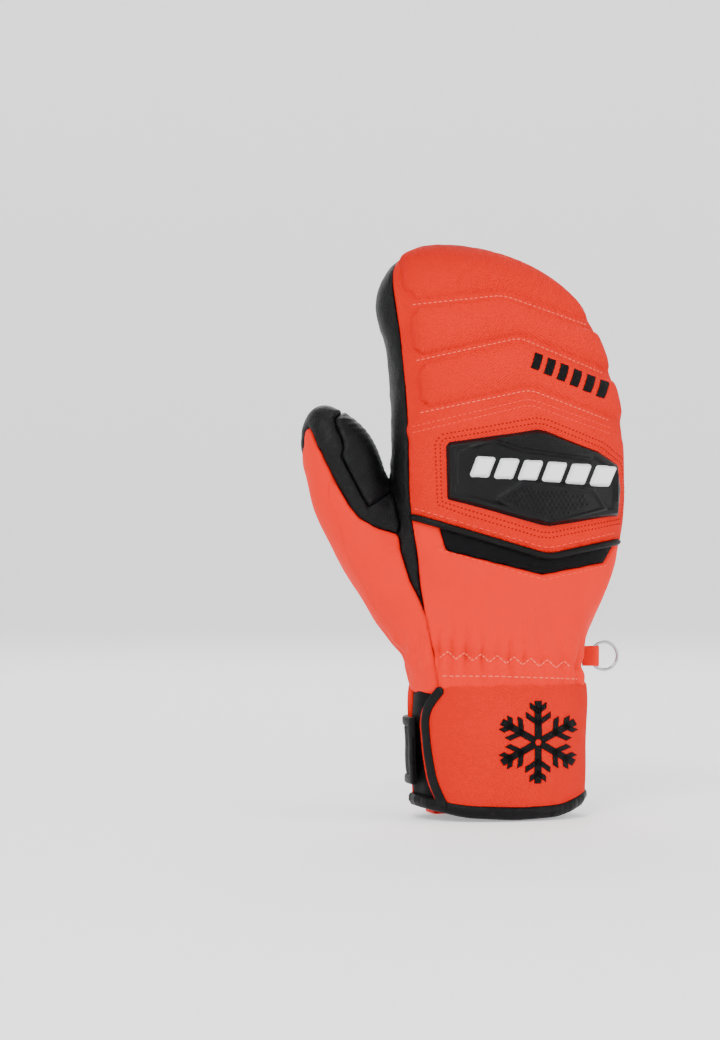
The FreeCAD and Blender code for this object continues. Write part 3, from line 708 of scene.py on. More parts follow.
def corner(a, b, radius):
    """How far inside a rounded corner each point is, from its distances inside the two edges."""
    return np.minimum(np.maximum(a, b), radius) - np.hypot(
        np.clip(radius - a, 0, None), np.clip(radius - b, 0, None)
    ) + np.clip(np.minimum(a, b) - radius, 0, None)


def seam_puckers(skin, distance, length=7.0, depth=0.35, reach=4.0, seed=1):
    """Small pulls in the cloth beside a seam."""
    return depth * np.exp(-distance / reach) * waves(skin.co, length, seed)


SWELL_SCALE, SWELL_FRAMES = 0.02, 16


def swollen(skin, held, spare, push, most):
    """How far each point moves when cloth with spare length between its held seams is blown outwards."""
    mesh = bpy.data.meshes.new("swelling")
    mesh.from_pydata((skin.co * SWELL_SCALE).tolist(), [], skin.tris.tolist())
    sheet = added("swelling", mesh)
    sheet.vertex_groups.new(name="held").add(np.flatnonzero(held).tolist(), 1.0, "REPLACE")
    modifier = sheet.modifiers.new("cloth", "CLOTH")
    cloth = modifier.settings
    cloth.effector_weights.gravity = 0.0
    for key, value in (
        ("quality", 4), ("mass", 0.004), ("air_damping", 4.0), ("tension_stiffness", 12.0),
        ("compression_stiffness", 12.0), ("shear_stiffness", 4.0), ("bending_stiffness", 1.5),
        ("vertex_group_mass", "held"), ("shrink_min", -spare), ("use_pressure", True),
        ("uniform_pressure_force", push)
    ):
        setattr(cloth, key, value)
    scene = bpy.context.scene
    first = scene.frame_current
    for step in range(SWELL_FRAMES):
        scene.frame_set(step + 1)
    settled = sheet.evaluated_get(bpy.context.evaluated_depsgraph_get()).data
    co = np.empty(len(skin.co) * 3)
    settled.vertices.foreach_get("co", co)
    bpy.data.objects.remove(sheet)
    bpy.data.meshes.remove(mesh)
    scene.frame_set(first)
    move = co.reshape(-1, 3) / SWELL_SCALE - skin.co
    size = np.linalg.norm(move, axis=1, keepdims=True)
    return move * np.minimum(1, most / np.maximum(size, 1e-6))


def evened(values, tris, times):
    """Each value averaged with its neighbours', the given number of times."""
    pairs = sides_of(tris)
    share = np.bincount(pairs[:, 0], minlength=len(values))[:, None] + 1e-9
    for _ in range(times):
        total = np.stack([np.bincount(pairs[:, 0], values[pairs[:, 1], k], len(values)) for k in range(3)], 1)
        values = (values + total / share) / 2
    return values


def tab_room(skin):
    """The dip that leaves room for the ring's tab to fold."""
    return 1.8 * np.exp(-(((skin.co - np.array([44.0, 0.0, 79.0])) / np.array([8.0, 7.0, 9.0])) ** 2).sum(1))


def soft(skin, lift, seed, amount=0.45):
    """The usual sewn panel: a little fullness, a turned-in edge and soft waves."""
    edge = skin.edge_distance()
    return (
        lift + puffed(edge, 0.7, 5) + rolled(edge) + seam_puckers(skin, edge, seed=seed)
        + amount * waves(skin.co, 34, seed + 1) * np.clip(edge / 8, 0, 1)
    )


def above(skin, curve):
    """How far above a curve of the pattern each point of a skin is."""
    s, t = seen(skin)
    return t - curve(s)


# --- the panels, one cut after another ------------------------------
SIDE_CUT, THUMB_CUT, LINING_CUT, LINING_DEPTH = 140, 95, 150, 3.4
base = mitten_skin()
s, t = seen(base)
palmward = ramp(base.y, 12, 27)
thumb_red, rest = base.split(
    (THUMB_EDGE(t) - s) * (1 - palmward) + (THUMB_EDGE_PALM(base.z) - base.x) * palmward
)
s, t = seen(rest)
back, rest = rest.split(np.minimum(s - BACK_EDGE(t), 2 - towards_palm(rest)))

PATCH_EDGE = line_through(
    [(80, -6), (93.5, -6), (108.5, -5), (123.5, -6), (138, -12), (148, -21), (152, -38), (156, -70)], 3
)
PALM_SEAM = line_through([(-60, 189.5), (-54, 188.5), (10, 178.5), (49, 172.5), (70, 169)], 4)
GRIP_FOOT = line_through([(-60, 76), (-6, 88.75), (45, 102), (70, 108)], 4)
onto_thumb = hand.distance(rest.co) - thumb.distance(rest.co)
patch, rest = rest.split(
    np.minimum.reduce([PATCH_EDGE(rest.z) - rest.x, 12 - onto_thumb, rest.y - 11, rest.z - 78])
)
onto_thumb = hand.distance(rest.co) - thumb.distance(rest.co)
fade = 14 * ramp(146 - rest.z, 0, 16)
thumb_black, rest = rest.split(np.minimum(onto_thumb - fade, rest.z - 118))
tip_edge = rest.z - 271.5 + 0.0065 * (rest.x + 12) ** 2
side, palm = rest.split(np.maximum(8.5 - towards_palm(rest), tip_edge))
side = side.lifted(soft(side, 0.3, 51) - tab_room(side))
side_high, side_low = side.split(side.z - SIDE_CUT)
leather, palm = palm.split(palm.z - PALM_SEAM(palm.x))
grip, heel = palm.split(palm.z - GRIP_FOOT(palm.x))
pads, back = back.split(above(back, DOUBLE_STITCH))
knuckles, back = back.split(above(back, PIPING))
INSERT = [(-29.2, 150), (-29.2, 143), (-26.8, 134), (23.8, 120), (54.2, 127.5), (57.8, 134.5), (57.8, 150)]
insert, back = back.split(depth_in(back, INSERT, 3))


# finger pads: three quilted fields on one panel, blown up between their seams
PAD_RISE = 3.0


def pad_depth(skin):
    """How far inside a quilted field each point of the pads' skin is."""
    s, t = seen(skin)
    lean = 0.12 * (t - 200) - 0.6
    one = corner(s + 40 + lean, t - PAD_TOP(s) - 0.8, 6)
    two = corner(corner(s + 38.5 + lean, PAD_TOP(s) - 3.6 - t, 5), t - PAD_MIDDLE(s) - 0.8, 4)
    three = corner(corner(s + 38 + lean, PAD_MIDDLE(s) - 3.6 - t, 5), t - PAD_FOOT(s) - 0.8, 4)
    return np.minimum(np.maximum.reduce([one, two, three]), 0.6 * (skin.edge_distance() - 2.5))


def thinned(skin):
    """How much of the padding is left where the back turns away to the side."""
    return 0.3 + 0.7 * ramp(-skin.normal @ AHEAD, 0.05, 0.55)


def pad_height(skin, inside):
    joined = ramp(above(skin, DOUBLE_STITCH), 0.5, 5)
    full = 0.5 + rolled(skin.edge_distance()) + thinned(skin) * puffed(
        np.clip(inside, 0, None), PAD_RISE, 1.3
    )
    return 0.6 * (1 - joined) + joined * (full + seam_puckers(skin, np.abs(inside), 6, 0.16, 3, 22))


coarse_inside = pad_depth(pads)
shaped = pads.lifted(pad_height(pads, coarse_inside))
move = swollen(shaped, coarse_inside < 0.3, 0.012, 6.0, 3.0)
pads, moved = pads.finer(), Skin(pads.co + move, pads.normal, pads.tris).finer()
inside = pad_depth(pads)
height = pad_height(pads, inside)
swell = evened(moved.co - pads.co, pads.tris, 8) * thinned(pads)[:, None]
finger_pads = panel(
    "finger_pads", Skin(pads.co + swell, pads.normal, pads.tris), height, 2.0, red_woven, FINGERS,
    ("finger_back_panel", "finger_pad_one", "finger_pad_two", "finger_pad_three")
)

joined = ramp(-above(knuckles, DOUBLE_STITCH), 0.5, 5)
knuckle_panel = panel(
    "knuckle_cloth", knuckles, 0.6 * (1 - joined) + joined * soft(knuckles, 0.8, 31, 0.3), 2.0, red_woven,
    FINGERS, ("knuckle_panel", "knuckle_foam")
)

# back of the hand, gathered at the wrist's elastic
s = seen(back)[0]
edge = back.edge_distance()
near_band = np.abs(above(back, BAND_BACK))
pleats = np.abs(np.sin(s * 0.42 + 0.8 * waves(back.co, 34, 41))) ** 0.7 - 0.6
gathers = 2.6 * bell(near_band, 13) * (pleats + waves(back.co, 8, 42, 0.3) * 0.22)
folds = 0.9 * waves(back.co, 24, 43, 0.7) * np.clip(edge / 10, 0, 1)
height = 0.6 + puffed(edge, 0.9, 6) + rolled(edge) + gathers + folds - 1.8 * bell(near_band, 3)
height -= tab_room(back)
panel(
    "hand_back_panel_cloth", back, height, 1.6, red_soft, WRIST,
    ("hand_back_panel", "wrist_gather_panel", "wrist_elastic")
)

edge = insert.edge_distance()
ribs = 0.35 * np.sin(seen(insert)[1] * 2.6)
panel(
    "flex_insert_cloth", insert, 0.5 + rolled(edge, 0.8) + puffed(edge, 0.5, 3) + ribs, 1.6, black_soft,
    "hand", ("flex_insert",)
)

# sides, palm and heel
panel(
    "finger_side_wall", side_high, 0.0, 1.5, black_leather, FINGERS,
    ("index_side_wall", "fingertip_wall_index", "fingertip_wall_little", "little_finger_side_wall")
)
panel("hand_side_wall", side_low, 0.0, 1.5, black_leather, WRIST)
crease_wave = -1.2 * bell(leather.z - 198 + 0.08 * leather.x, 3)
panel(
    "finger_palm_leather_piece", leather, soft(leather, 0.4, 53, 0.6) + crease_wave, 1.5, black_leather,
    FINGERS, ("finger_palm_leather", "palm_crease")
)
panel("palm_grip", grip, soft(grip, 0.5, 54), 1.5, black_grip, "hand", ("palm_grip_panel",))
heel_pull = 0.7 * bell(heel.z - 77, 8) * waves(heel.co, 9, 56, 0.35)
panel(
    "palm_heel", heel, soft(heel, 0.5, 55) + heel_pull - tab_room(heel), 1.5, black_soft, WRIST,
    ("palm_heel_panel",)
)
edge = patch.edge_distance()
ridge = 0.5 * (bell(edge - 2.2, 0.6) + bell(edge - 4.6, 0.6))
panel("thumb_saddle_patch", patch, 1.3 + rolled(edge, 0.9) + ridge, 1.8, black_leather, "hand")

# thumb
band = np.abs(seen(thumb_red)[1] - 81)
pulls = 1.7 * bell(band, 11) * waves(thumb_red.co, 8, 62, 0.35)
thumb_red = thumb_red.lifted(soft(thumb_red, 0.4, 63, 0.7) + pulls - 1.4 * bell(band, 3.4))
thumb_high, thumb_low = thumb_red.split(thumb_red.z - THUMB_CUT)
panel("wrist_gather_cloth", thumb_low, 0.0, 1.6, red_soft, WRIST)
panel("thumb_red_panel", thumb_high, 0.0, 1.5, red_soft, THUMB_TURN, ("thumb_tip_outer", "thumb_root_outer"))
THUMB_INNER = [
    (-81.7, 198.3), (-76.8, 185.3), (-77.9, 179.2), (-64.5, 153.9), (-52, 162.5), (-48, 180), (-60, 215)
]
thumb_inner, thumb_black = thumb_black.split(depth_in(thumb_black, THUMB_INNER))
panel(
    "thumb_inner_leather", thumb_inner, soft(thumb_inner, 0.5, 65, 0.4) + 0.12 * np.sin(thumb_inner.z * 2.4),
    1.5, black_leather, THUMB_TURN
)
panel(
    "thumb_black_panel", thumb_black, soft(thumb_black, 0.4, 64, 0.7), 1.5, black_leather, THUMB_TURN,
    ("thumb_tip_inner", "thumb_root_inner", "thumb_crease")
)

# wadding, membrane and liner, each under the stretch of shell that it moves with
low_inside, high_inside = base.split(LINING_CUT - base.z)
thumb_inside, finger_inside = high_inside.split(
    hand.distance(high_inside.co) - thumb.distance(high_inside.co)
)
for name, skin, way, node, slot in (
    ("wadding_sleeve", low_inside, WRIST, "insulation_fill", "wadding"),
    ("finger_lining", finger_inside, FINGERS, "inner_liner", "fleece"),
    ("thumb_lining", thumb_inside, THUMB_TURN, "waterproof_membrane", "fleece")
):
    panel(name, skin, -LINING_DEPTH, 2.0, lining_cloth, way, (node,), mark=False)

# --- moulded guard and its bars -------------------------------------
GUARD = [
    (-25.1, 185.5), (19.5, 193), (23.8, 192.2), (50.3, 181.3), (59.3, 174.2), (60.5, 162.5), (59.3, 150),
    (26.1, 144.1), (22.2, 144.5), (-16.9, 156.3), (-25.5, 158.6), (-25.9, 184.4)
]
UPPER_RIDGE = [(-18.4, 181.3), (-3.6, 187.1), (11.25, 182.4), (45.6, 177.3)]
LOWER_FIELD = [(0.3, 158.6), (12, 166.4), (45.6, 162.5), (51.1, 153.1), (23.75, 145.3)]
UPPER_FIELD = [(-1.25, 186.7), (19.5, 192.6), (48.75, 181.6), (44, 178.9), (11.25, 182.4)]
POSTS = ([(-20.4, 181), (-20.4, 165.6)], [(56.8, 170), (56.8, 157)])
GUARD_LIFT = 1.4

near = knuckles.keep(depth_in(knuckles, GUARD, 2) + 2).finer().finer()
guard = near.keep(depth_in(near, GUARD, 2))
s, t = seen(guard)
inside = depth_in(guard, GUARD, 2)
low_field, high_field = depth_in(guard, LOWER_FIELD), depth_in(guard, UPPER_FIELD)
sunk = np.minimum(ramp(inside, 3.5, 5), ramp(-high_field, 0.5, 2) * ramp(-low_field, 1.2, 2.4))
ridge = bell(path_depth(s, t, UPPER_RIDGE), 0.8) + bell(low_field - 0.2, 0.7)
posts = sum(bell(path_depth(s, t, post), 0.6) for post in POSTS)
height = (
    GUARD_LIFT + 2.5 * ramp(inside, -0.2, 2.2) - 1.0 * sunk + 0.9 * ridge * ramp(inside, 1, 2) + 0.8 * posts
)
panel("knuckle_guard_shell", guard, height, 3.0, black_rubber, "hand", ("knuckle_guard",), 40)

bars = []
for number in range(6):
    left, top = -14 + 11.7 * number, 179.2 - 0.9 * number
    bar = [(left, top - 10), (left + 3.4, top), (left + 12.1, top - 0.7), (left + 8.7, top - 10.7)]
    skin = near.keep(depth_in(near, bar, 1.6))
    depth = depth_in(skin, bar, 1.6)
    top_face = skin.co + skin.normal * (GUARD_LIFT + 1.8 + 2.4 * ramp(depth, -0.3, 1.5))[:, None]
    under = skin.co + skin.normal * (GUARD_LIFT + 0.6)
    bars.append((np.vstack([top_face, under]), closed(skin)))
settle(mesh_piece("guard_bars", *gathered(bars), white_rubber, 35), "hand", ("guard_badge",))


# --- cuff -----------------------------------------------------------
HEM = line_through([(-46, 6.5), (-38, 5.0), (-25, 1.8), (0, 0.4), (25, 1.2), (37, 4.8), (46, 9)], 4)
FLAP_EDGE = line_through(
    [
        (-4, -24), (3, -28), (7.5, -30.5), (17.5, -34.5), (32.5, -37), (47, -38.3), (54, -37), (60, -32.5),
        (68, -26)
    ],
    3
)
cuff_base = cuff_skin()
cuff_base = cuff_base.keep(cuff_base.z - HEM(cuff_base.x) - 1)
s, t = seen(cuff_base)
flap, under = cuff_base.split(np.minimum(s - FLAP_EDGE(t), 3 - cuff_base.y))
gusset, cuff_palm = under.split(np.minimum(-18 - under.x, 6 - under.y))


def cuff_waves(skin, seed, amount=0.55):
    """Soft folds in the cuff, tighter towards its top."""
    gathers = 0.35 * np.exp(-(CUFF_TOP - skin.z) / 6) * waves(skin.co, 8, seed + 1, 0.3)
    return amount * waves(skin.co, 26, seed, 0.5) + gathers


panel(
    "cuff_flap", flap, 1.5 + cuff_waves(flap, 71) + rolled(flap.edge_distance(), 0.8), 2.2, red_knit, "cuff",
    ("cuff_back_flap",)
)
panel(
    "cuff_palm", cuff_palm, 0.8 + cuff_waves(cuff_palm, 72, 0.4) + rolled(cuff_palm.edge_distance(), 0.8),
    2.0, red_knit, "cuff", ("cuff_palm_panel",)
)
panel(
    "cuff_gusset_cloth", gusset, -0.6 + 0.8 * waves(gusset.co, 11, 73, 0.4), 1.4, black_soft, "cuff",
    ("cuff_gusset",)
)
panel(
    "cuff_lining_cloth", cuff_base.keep(cuff_base.z - 6), -3.2, 0.8, lining_cloth, "cuff", ("cuff_lining",),
    mark=False
)

turn = circle(300)
ring_x = cuff.point(turn, np.full(300, 3.0))[:, 0]
foot = HEM(ring_x)
BINDING = [
    (-3.4, 6.3), (-3.9, 3.2), (-3.0, 0.6), (-0.8, -0.4), (1.6, 0.5), (2.7, 2.6), (2.6, 4.6), (1.9, 5.8),
    (0.9, 6.2), (-0.6, 5.9)
]
outward = unit(np.stack([np.cos(turn) / 43, np.sin(turn) / 28, 0 * turn], 1))
wrinkle = 0.07 * np.sin(turn * 60 + 2 * np.sin(turn * 7)) + 0.15 * np.sin(turn * 23 + 1)
rows = []
for out, up in BINDING:
    swell = 1 + wrinkle * (0.5 if out > 0 else 0.1)
    rows.append(cuff.point(turn, foot + up) + outward * (out * swell)[:, None])
co, tris = joined_rings(rows[::-1])
last = (len(rows) - 1) * 300
i = np.arange(300)
j = (i + 1) % 300
tris = np.vstack([tris, np.stack([last + i, last + j, j], 1), np.stack([last + i, j, i], 1)])
surfaces.append((co, tris))
settle(mesh_piece("hem_binding", co, tris, black_binding), "cuff", ("hem_binding_back", "hem_binding_palm"))

# --- closure strap: a band round the palm side, edged with tape -----
STRAP_LOW, STRAP_HIGH = 17.0, 50.0
STRAP_START, STRAP_END, MM_PER_RADIAN = math.radians(33), math.radians(192), 37.0
strap_base = cuff_skin(STRAP_LOW - 2, STRAP_HIGH + 2, 0.8, 320)


STRAP_ROUND, STRAP_TAPE, STRAP_LIFT = 11, 4.4, 3.2


def strap_inside(skin):
    """How far inside the strap's outline each point is; its free end has rounded corners."""
    x, width, y, depth = cuff.section(skin.z)
    angle = np.mod(np.arctan2((skin.y - y) / depth, (skin.x - x) / width), 2 * math.pi)
    across = (STRAP_HIGH - STRAP_LOW) / 2 - np.abs(skin.z - (STRAP_LOW + STRAP_HIGH) / 2)
    end = corner((angle - STRAP_START) * MM_PER_RADIAN, across, STRAP_ROUND)
    return np.minimum(end, (STRAP_END - angle) * MM_PER_RADIAN)


strap = strap_base.keep(strap_inside(strap_base))
body, rim_tape = strap.split(strap_inside(strap) - STRAP_TAPE)
for name, skin, finish, node, rise, seed in (
    ("strap_body", body, black_soft, "closure_strap", 0.0, 81),
    ("strap_edge_tape", rim_tape, black_binding, "strap_binding", 0.9, 82)
):
    edge = skin.edge_distance()
    lift = STRAP_LIFT + rise + rolled(edge, 0.7, 1.2) + 0.15 * waves(skin.co, 12, seed)
    panel(name, skin, lift, 2.2, finish, "strap", (node,))


LOOP_START, LOOP_END, LOOP_LOW, LOOP_HIGH = -14.0, 38.0, 22.0, 45.0
x, y, z = cuff_palm.co.T
tape = cuff_palm.keep(np.minimum.reduce([x - LOOP_START, LOOP_END - x, z - LOOP_LOW, LOOP_HIGH - z, y]))
panel("loop_tape", tape, 1.5 + cuff_waves(tape, 72, 0.4), 0.9, loop_pile, "cuff", ("cuff_loop_tape",))

# --- sewn lines, tapes and cords ------------------------------------
def surface_of(co, tris):
    return BVHTree.FromPolygons(co.tolist(), tris.tolist())


cloth_surface = surface_of(*gathered(surfaces))
plain_surface = surface_of(base.co, base.tris)


def cast(surface, starts, ways):
    """The first surface points along the rays, and the normals there, facing back along each ray."""
    places, normals = [], []
    for start, way in zip(starts, ways):
        place, normal, _, _ = surface.ray_cast(Vector(start), Vector(way))
        if place is not None:
            places.append(place)
            normals.append(normal if normal.dot(Vector(way)) < 0 else -normal)
    return np.array(places), np.array(normals)


def from_front(points, surface=cloth_surface):
    return cast(surface, [EYE] * len(points), [sight(a, b) for a, b in points])


def from_front_smooth(points):
    """As from_front, on the plain form under the panels."""
    return from_front(points, plain_surface)


def from_behind(points):
    return cast(cloth_surface, [(a, 300, b) for a, b in points], [(0, -1, 0)] * len(points))


def lengths_to(points):
    """The length of the line through the points, up to each of them."""
    return np.concatenate([[0], np.cumsum(np.linalg.norm(np.diff(points, axis=0), axis=1))])


def values_at(marks, lengths, values):
    return np.stack([np.interp(marks, lengths, column) for column in values.T], 1)


def along(points, step):
    """Points a step apart on the line through the given points."""
    points = np.array(points, float)
    lengths = lengths_to(points)
    return values_at(np.arange(0, lengths[-1], step), lengths, points)


def smooth_rows(values, times):
    for _ in range(times):
        values = np.vstack([values[:1], (values[:-2] + 2 * values[1:-1] + values[2:]) / 4, values[-1:]])
    return values


def strip(points, normals, half_width, half_height, sides=10, square=2.0, blunt=1.0):
    """A rounded bar along the points, with closed, blunt ends."""
    forward = unit(np.gradient(points, axis=0))
    normals = unit(normals - forward * (normals * forward).sum(1)[:, None])
    beside = np.cross(normals, forward)
    angle = circle(sides)
    c, d = np.cos(angle), np.sin(angle)
    c, d = np.sign(c) * np.abs(c) ** (2 / square), np.sign(d) * np.abs(d) ** (2 / square)
    reach = np.minimum(np.arange(len(points)), np.arange(len(points))[::-1])
    scale = np.sqrt(np.clip((reach + 0.35) / (blunt + 0.35), 0, 1))
    rows = [
        p + np.outer(c, b) * half_width * k + np.outer(d, n) * half_height * k
        for p, n, b, k in zip(points, normals, beside, scale)
    ]
    return joined_rings(rows, True, True)


def band_piece(name, line, side, half_width, half_height, finish, way, nodes, sink, square=3.0):
    """A tape or cord laid along a line of the pattern, sunk into what is under it."""
    points, normals = side(along(line, 0.8))
    points, normals = smooth_rows(points, 6), smooth_rows(normals, 10)
    co, tris = strip(points - normals * sink, normals, half_width, half_height, 14, square, 2)
    settle(mesh_piece(name, co, tris, finish), way, nodes)


def stitched(name, lines, side, finish, way, length=2.3, gap=1.1, thick=0.36, sink=0.12):
    """Rows of thread stitches along lines of the pattern."""
    parts = []
    for line in lines:
        points, normals = side(along(line, 0.4))
        points, normals = smooth_rows(points, 3), smooth_rows(normals, 6)
        lengths = lengths_to(points)
        for start in np.arange(0.5, lengths[-1] - length, length + gap):
            marks = start + np.linspace(0, length, 6)
            place, normal = values_at(marks, lengths, points), values_at(marks, lengths, normals)
            bow = np.sin(np.linspace(0, math.pi, 6))[:, None]
            parts.append(strip(place + normal * (bow * 0.25 - sink), normal, thick, thick, 6, 2.0, 1))
    co, tris = gathered(parts)
    settle(mesh_piece(name, co, tris, finish, 60), way)


def curve_line(curve, low, high, shift=0.0, step=1.0):
    """A pattern line (across, curve(across) + shift)."""
    return [(a, float(curve(a)) + shift) for a in np.arange(low, high, step)]


def upright(curve, low, high, shift=0.0, step=1.0):
    """A pattern line (curve(up) + shift, up)."""
    return [(float(curve(b)) + shift, b) for b in np.arange(low, high, step)]


band_piece(
    "flex_piping_cord", curve_line(PIPING, -43, 60.5), from_front_smooth, 1.7, 1.7, black_binding, "hand",
    ("flex_piping",), -1.5, square=2.0
)
band_piece(
    "flap_edge_tape", upright(FLAP_EDGE, 3.5, 64, 2.0), from_front, 2.4, 0.95, black_binding, "cuff",
    ("flap_edge_binding",), -0.2
)
stitched(
    "finger_stitches",
    [
        curve_line(PAD_TOP, -43, 46, -1.4), curve_line(PAD_MIDDLE, -41, 54, -1.4),
        curve_line(PAD_FOOT, -39, 57, -1.2)
    ],
    from_front, pale_thread, FINGERS, 1.7, 0.9, 0.3
)
stitched(
    "knuckle_stitches", [curve_line(DOUBLE_STITCH, -43, 58, 1.6), curve_line(DOUBLE_STITCH, -43, 58, -1.4)],
    from_front, red_thread, FINGERS, 1.7, 0.9, 0.3
)
guard_round = np.array(GUARD)


def guard_ring(gap):
    """The guard's outline, moved out by a gap."""
    ahead = unit(np.roll(guard_round, -1, 0) - guard_round)
    outward = np.stack([-ahead[:, 1], ahead[:, 0]], 1)
    corner_out = unit(outward + np.roll(outward, 1, 0))
    moved = guard_round + corner_out * gap
    return [tuple(p) for p in np.vstack([moved, moved[:1]])]


# the needle holes round the guard are dashes in that darker red, painted shade sitting on the cloth rather
# than real hollows
stitched(
    "guard_needle_holes", [guard_ring(3.0), guard_ring(5.6)], from_front, hole_shade_red, "hand", 0.7, 1.3, 0.45,
    0.35
)
stitched("piping_stitches", [curve_line(PIPING, -42, 60, 4.2)], from_front, red_thread, "hand")
stitched(
    "insert_stitches", [[(-30, 133), (-26, 131.8), (23.8, 117.5), (55, 125)]], from_front, red_thread, "hand"
)
stitched("wrist_stitches", [[(-28, 69.5), (0, 69.3), (41, 68)]], from_front, pale_thread, WRIST)
stitched("flap_stitches", [upright(FLAP_EDGE, 6, 62, 3.6)], from_front, black_thread, "cuff", 1.8, 1.0, 0.26)
stitched(
    "palm_stitches",
    [
        curve_line(PALM_SEAM, -44, 56, 2.2, 2), curve_line(PALM_SEAM, -44, 56, -2.2, 2),
        curve_line(GRIP_FOOT, -3, 50, 2.2, 2)
    ],
    from_behind, black_thread, "hand"
)


def zigzag(band, low, high, pitch):
    """Corners of a zigzag of stitches along a band."""
    return [(a, float(band(a)) + (1.9 if n % 2 else -1.9)) for n, a in enumerate(np.arange(low, high, pitch))]


stitched("wrist_zigzag", [zigzag(BAND_BACK, -29, 41, 4.15)], from_front, pale_thread, WRIST, 1.9, 0.5, 0.4)
stitched("heel_zigzag", [zigzag(BAND_PALM, -4.5, 37, 4.45)], from_behind, red_thread, WRIST, 1.9, 0.5, 0.4)
strap_rows = [[(a, up) for a in np.arange(24, -42, -1.5)] for up in (STRAP_HIGH - 2.3, STRAP_LOW + 2.3)]
stitched("strap_stitches", strap_rows, from_behind, black_thread, "strap", 1.8, 1.0, 0.28)


def print_marks(name, outlines, finish, way, lift=0.35, nodes=()):
    """Thin marks printed on the back, cut from the skin under them by closed outlines."""
    parts = []
    for skin, outline in outlines:
        cut = skin.keep(depth_in(skin, outline))
        points = []
        for point, normal in zip(cut.co, cut.normal):
            place = cloth_surface.ray_cast(Vector(point + normal * 9), Vector(-normal))[0]
            points.append(np.array(place) if place is not None else point)
        points = np.array(points)
        parts.append((np.vstack([points + cut.normal * lift, points - cut.normal * 0.2]), closed(cut)))
    co, tris = gathered(parts)
    settle(mesh_piece(name, co, tris, finish, 30), way, nodes)


finger_fine = pads.keep(depth_in(pads, [(8, 240), (8, 215), (60, 198), (60, 225)])).finer()
dashes = []
for number in range(6):
    left, low = 15.0 + 6.3 * number, 222.6 - 2.75 * number
    dashes.append(
        (finger_fine, [(left, low), (left + 2.6, low + 8), (left + 6.4, low + 6.6), (left + 3.8, low - 1.4)])
    )
print_marks("finger_print", dashes, black_print, FINGERS)

SNOW_CENTRE = (19.5, 36.5)
flake = []
for number in range(6):
    angle = math.radians(30 + 60 * number)
    c, d = math.cos(angle), math.sin(angle)

    def placed(points):
        return [(SNOW_CENTRE[0] + u * c - v * d, SNOW_CENTRE[1] + u * d + v * c) for u, v in points]

    flake.append(placed([(1.5, -1.7), (20.5, -1.7), (20.5, 1.7), (1.5, 1.7)]))
    for side_sign in (1, -1):
        for start, reach in ((8, 7.5), (14, 5)):
            u, v = math.cos(math.radians(55)), math.sin(math.radians(55)) * side_sign
            flake.append(
                placed(
                    [
                        (start, 0), (start + 3.0, 0), (start + 3.0 + reach * u, reach * v),
                        (start + reach * u, reach * v)
                    ]
                )
            )
flap_fine = flap.keep(
    24 - np.hypot(seen(flap)[0] - SNOW_CENTRE[0], seen(flap)[1] - SNOW_CENTRE[1])
).finer().finer()
print_marks(
    "cuff_snowflake", [(flap_fine, outline) for outline in flake], black_print, "cuff", 0.3, ("cuff_emblem",)
)


def dome_field(outline, pitch, size, lift, margin):
    """Small moulded domes in staggered rows inside an outline."""
    outline = np.array(outline)
    low, high = outline.min(0), outline.max(0)
    rows = np.arange(low[1], high[1], pitch * 0.87)
    spots = [
        (a + pitch / 2 * (n % 2), b) for n, b in enumerate(rows) for a in np.arange(low[0], high[0], pitch)
    ]
    spots = np.array(
        [p for p in spots if polygon_depth(np.array([p[0]]), np.array([p[1]]), outline)[0] > margin]
    )
    points, normals = from_front(spots)
    parts = []
    angle = np.linspace(0, 2 * math.pi, 7)[:-1]
    for point, normal in zip(points, normals):
        beside = unit(np.cross(normal, (0, 0, 1)))
        along_way = np.cross(normal, beside)
        ring = np.outer(np.cos(angle), beside) + np.outer(np.sin(angle), along_way)
        rings = [
            point + ring * size * k + normal * (h * lift) for k, h in ((1, -0.6), (0.85, 0.45), (0.45, 0.9))
        ]
        parts.append(joined_rings(rings, True, True))
    return parts


co, tris = gathered(
    dome_field(LOWER_FIELD, 2.3, 0.85, 0.55, 2.2) + dome_field(UPPER_FIELD, 1.5, 0.55, 0.3, 1.2)
)
settle(mesh_piece("guard_texture", co, tris, black_rubber, 80), "hand")

# --- ring, tab and pull loop ----------------------------------------
for node, finish in (
    ("ring_tab", red_web), ("clip_ring", steel), ("pull_loop", red_web), ("pull_loop_ends", red_web),
    ("strap_hook_tape", black_soft)
):
    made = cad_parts[node]
    made.data.materials.clear()
    made.data.materials.append(finish)

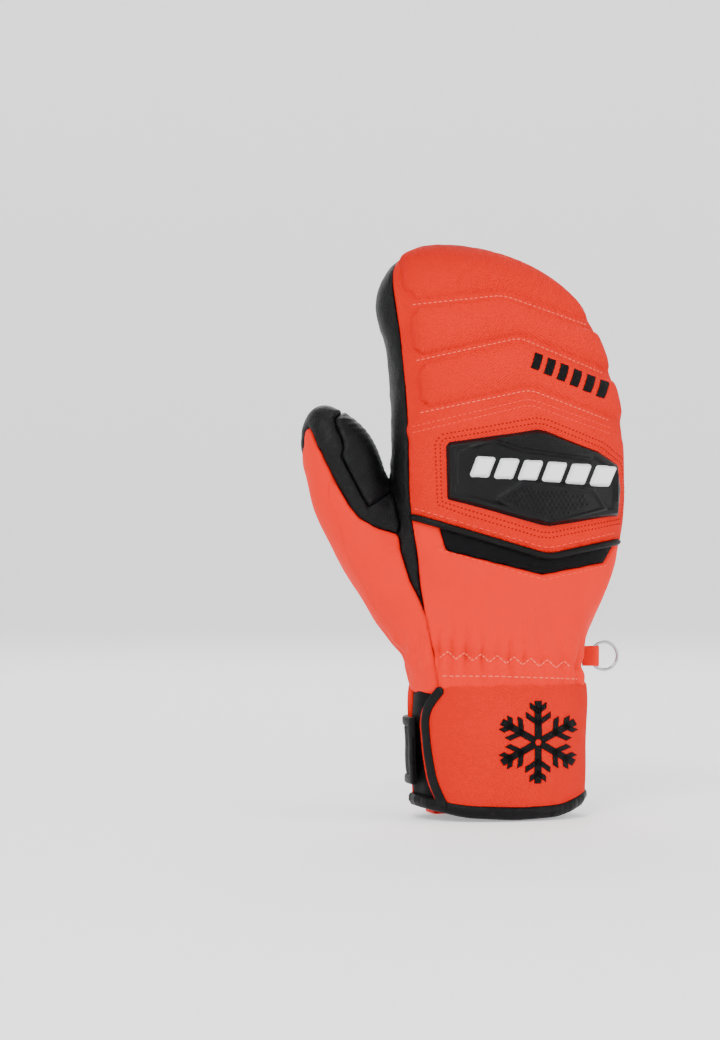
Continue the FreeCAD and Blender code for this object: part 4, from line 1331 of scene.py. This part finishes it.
# --- floor, lights and camera ---------------------------------------
floor_mesh = bpy.data.meshes.new("floor")
FLOOR_REACH, FLOOR_BEND, WALL_TOP, FLOOR_LEVEL, SIDES = 2.4, 0.9, 3.6, -0.0005, 64
profile = [(0.3, FLOOR_LEVEL), (FLOOR_REACH, FLOOR_LEVEL)]
profile += [
    (FLOOR_REACH + FLOOR_BEND * math.sin(a), FLOOR_LEVEL + FLOOR_BEND * (1 - math.cos(a)))
    for a in np.linspace(0.1, math.pi / 2, 14)
]
profile.append((FLOOR_REACH + FLOOR_BEND, WALL_TOP))
corners = [(r * math.cos(a), r * math.sin(a), z) for r, z in profile for a in circle(SIDES)]
faces = [list(range(SIDES))]
for low in range(0, SIDES * (len(profile) - 1), SIDES):
    faces += [
        (low + k, low + SIDES + k, low + SIDES + (k + 1) % SIDES, low + (k + 1) % SIDES) for k in range(SIDES)
    ]
floor_mesh.from_pydata(corners, [], faces)
floor_mesh.shade_smooth()
floor = added("floor", floor_mesh)
floor_paint = bpy.data.materials.new("floor_paint")
floor_paint.use_nodes = True
for key, value in (
    ("Base Color", (0.9, 0.9, 0.9, 1)), ("Roughness", 0.9), ("Emission Color", (1, 1, 1, 1)),
    ("Emission Strength", 0.42)
):
    floor_paint.node_tree.nodes["Principled BSDF"].inputs[key].default_value = value
floor_mesh.materials.append(floor_paint)
floor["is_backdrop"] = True

world = bpy.data.worlds.new("studio")
world.use_nodes = True
sky = world.node_tree.nodes["Background"].inputs
sky["Color"].default_value, sky["Strength"].default_value = (1, 1, 1, 1), 0.3
bpy.context.scene.world = world
TARGET = Vector((0, 0, 0.14))
for name, place, power, size in (
    ("key", (-0.9, -1.4, 1.7), 33, 0.7), ("fill", (1.3, -1.1, 0.7), 9, 1.2),
    ("back", (0.3, 1.4, 1.4), 18, 1.0), ("top", (0.0, -0.2, 1.9), 10, 1.0)
):
    lamp = bpy.data.lights.new(name, "AREA")
    lamp.energy, lamp.size = power, size
    lamp_object = added(name, lamp)
    lamp_object.location = place
    lamp_object.rotation_euler = (TARGET - Vector(place)).to_track_quat("-Z", "Y").to_euler()

camera_data = bpy.data.cameras.new("camera")
camera_data.lens = LENS
camera_data.sensor_fit = "VERTICAL"
camera_data.sensor_height = SENSOR
camera_data.clip_start, camera_data.clip_end = 0.05, 20
camera = added("camera", camera_data)
camera.location = Vector(EYE * MM)
camera.rotation_euler = Vector(AHEAD).to_track_quat("-Z", "Y").to_euler()
bpy.context.scene.camera = camera

low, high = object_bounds()
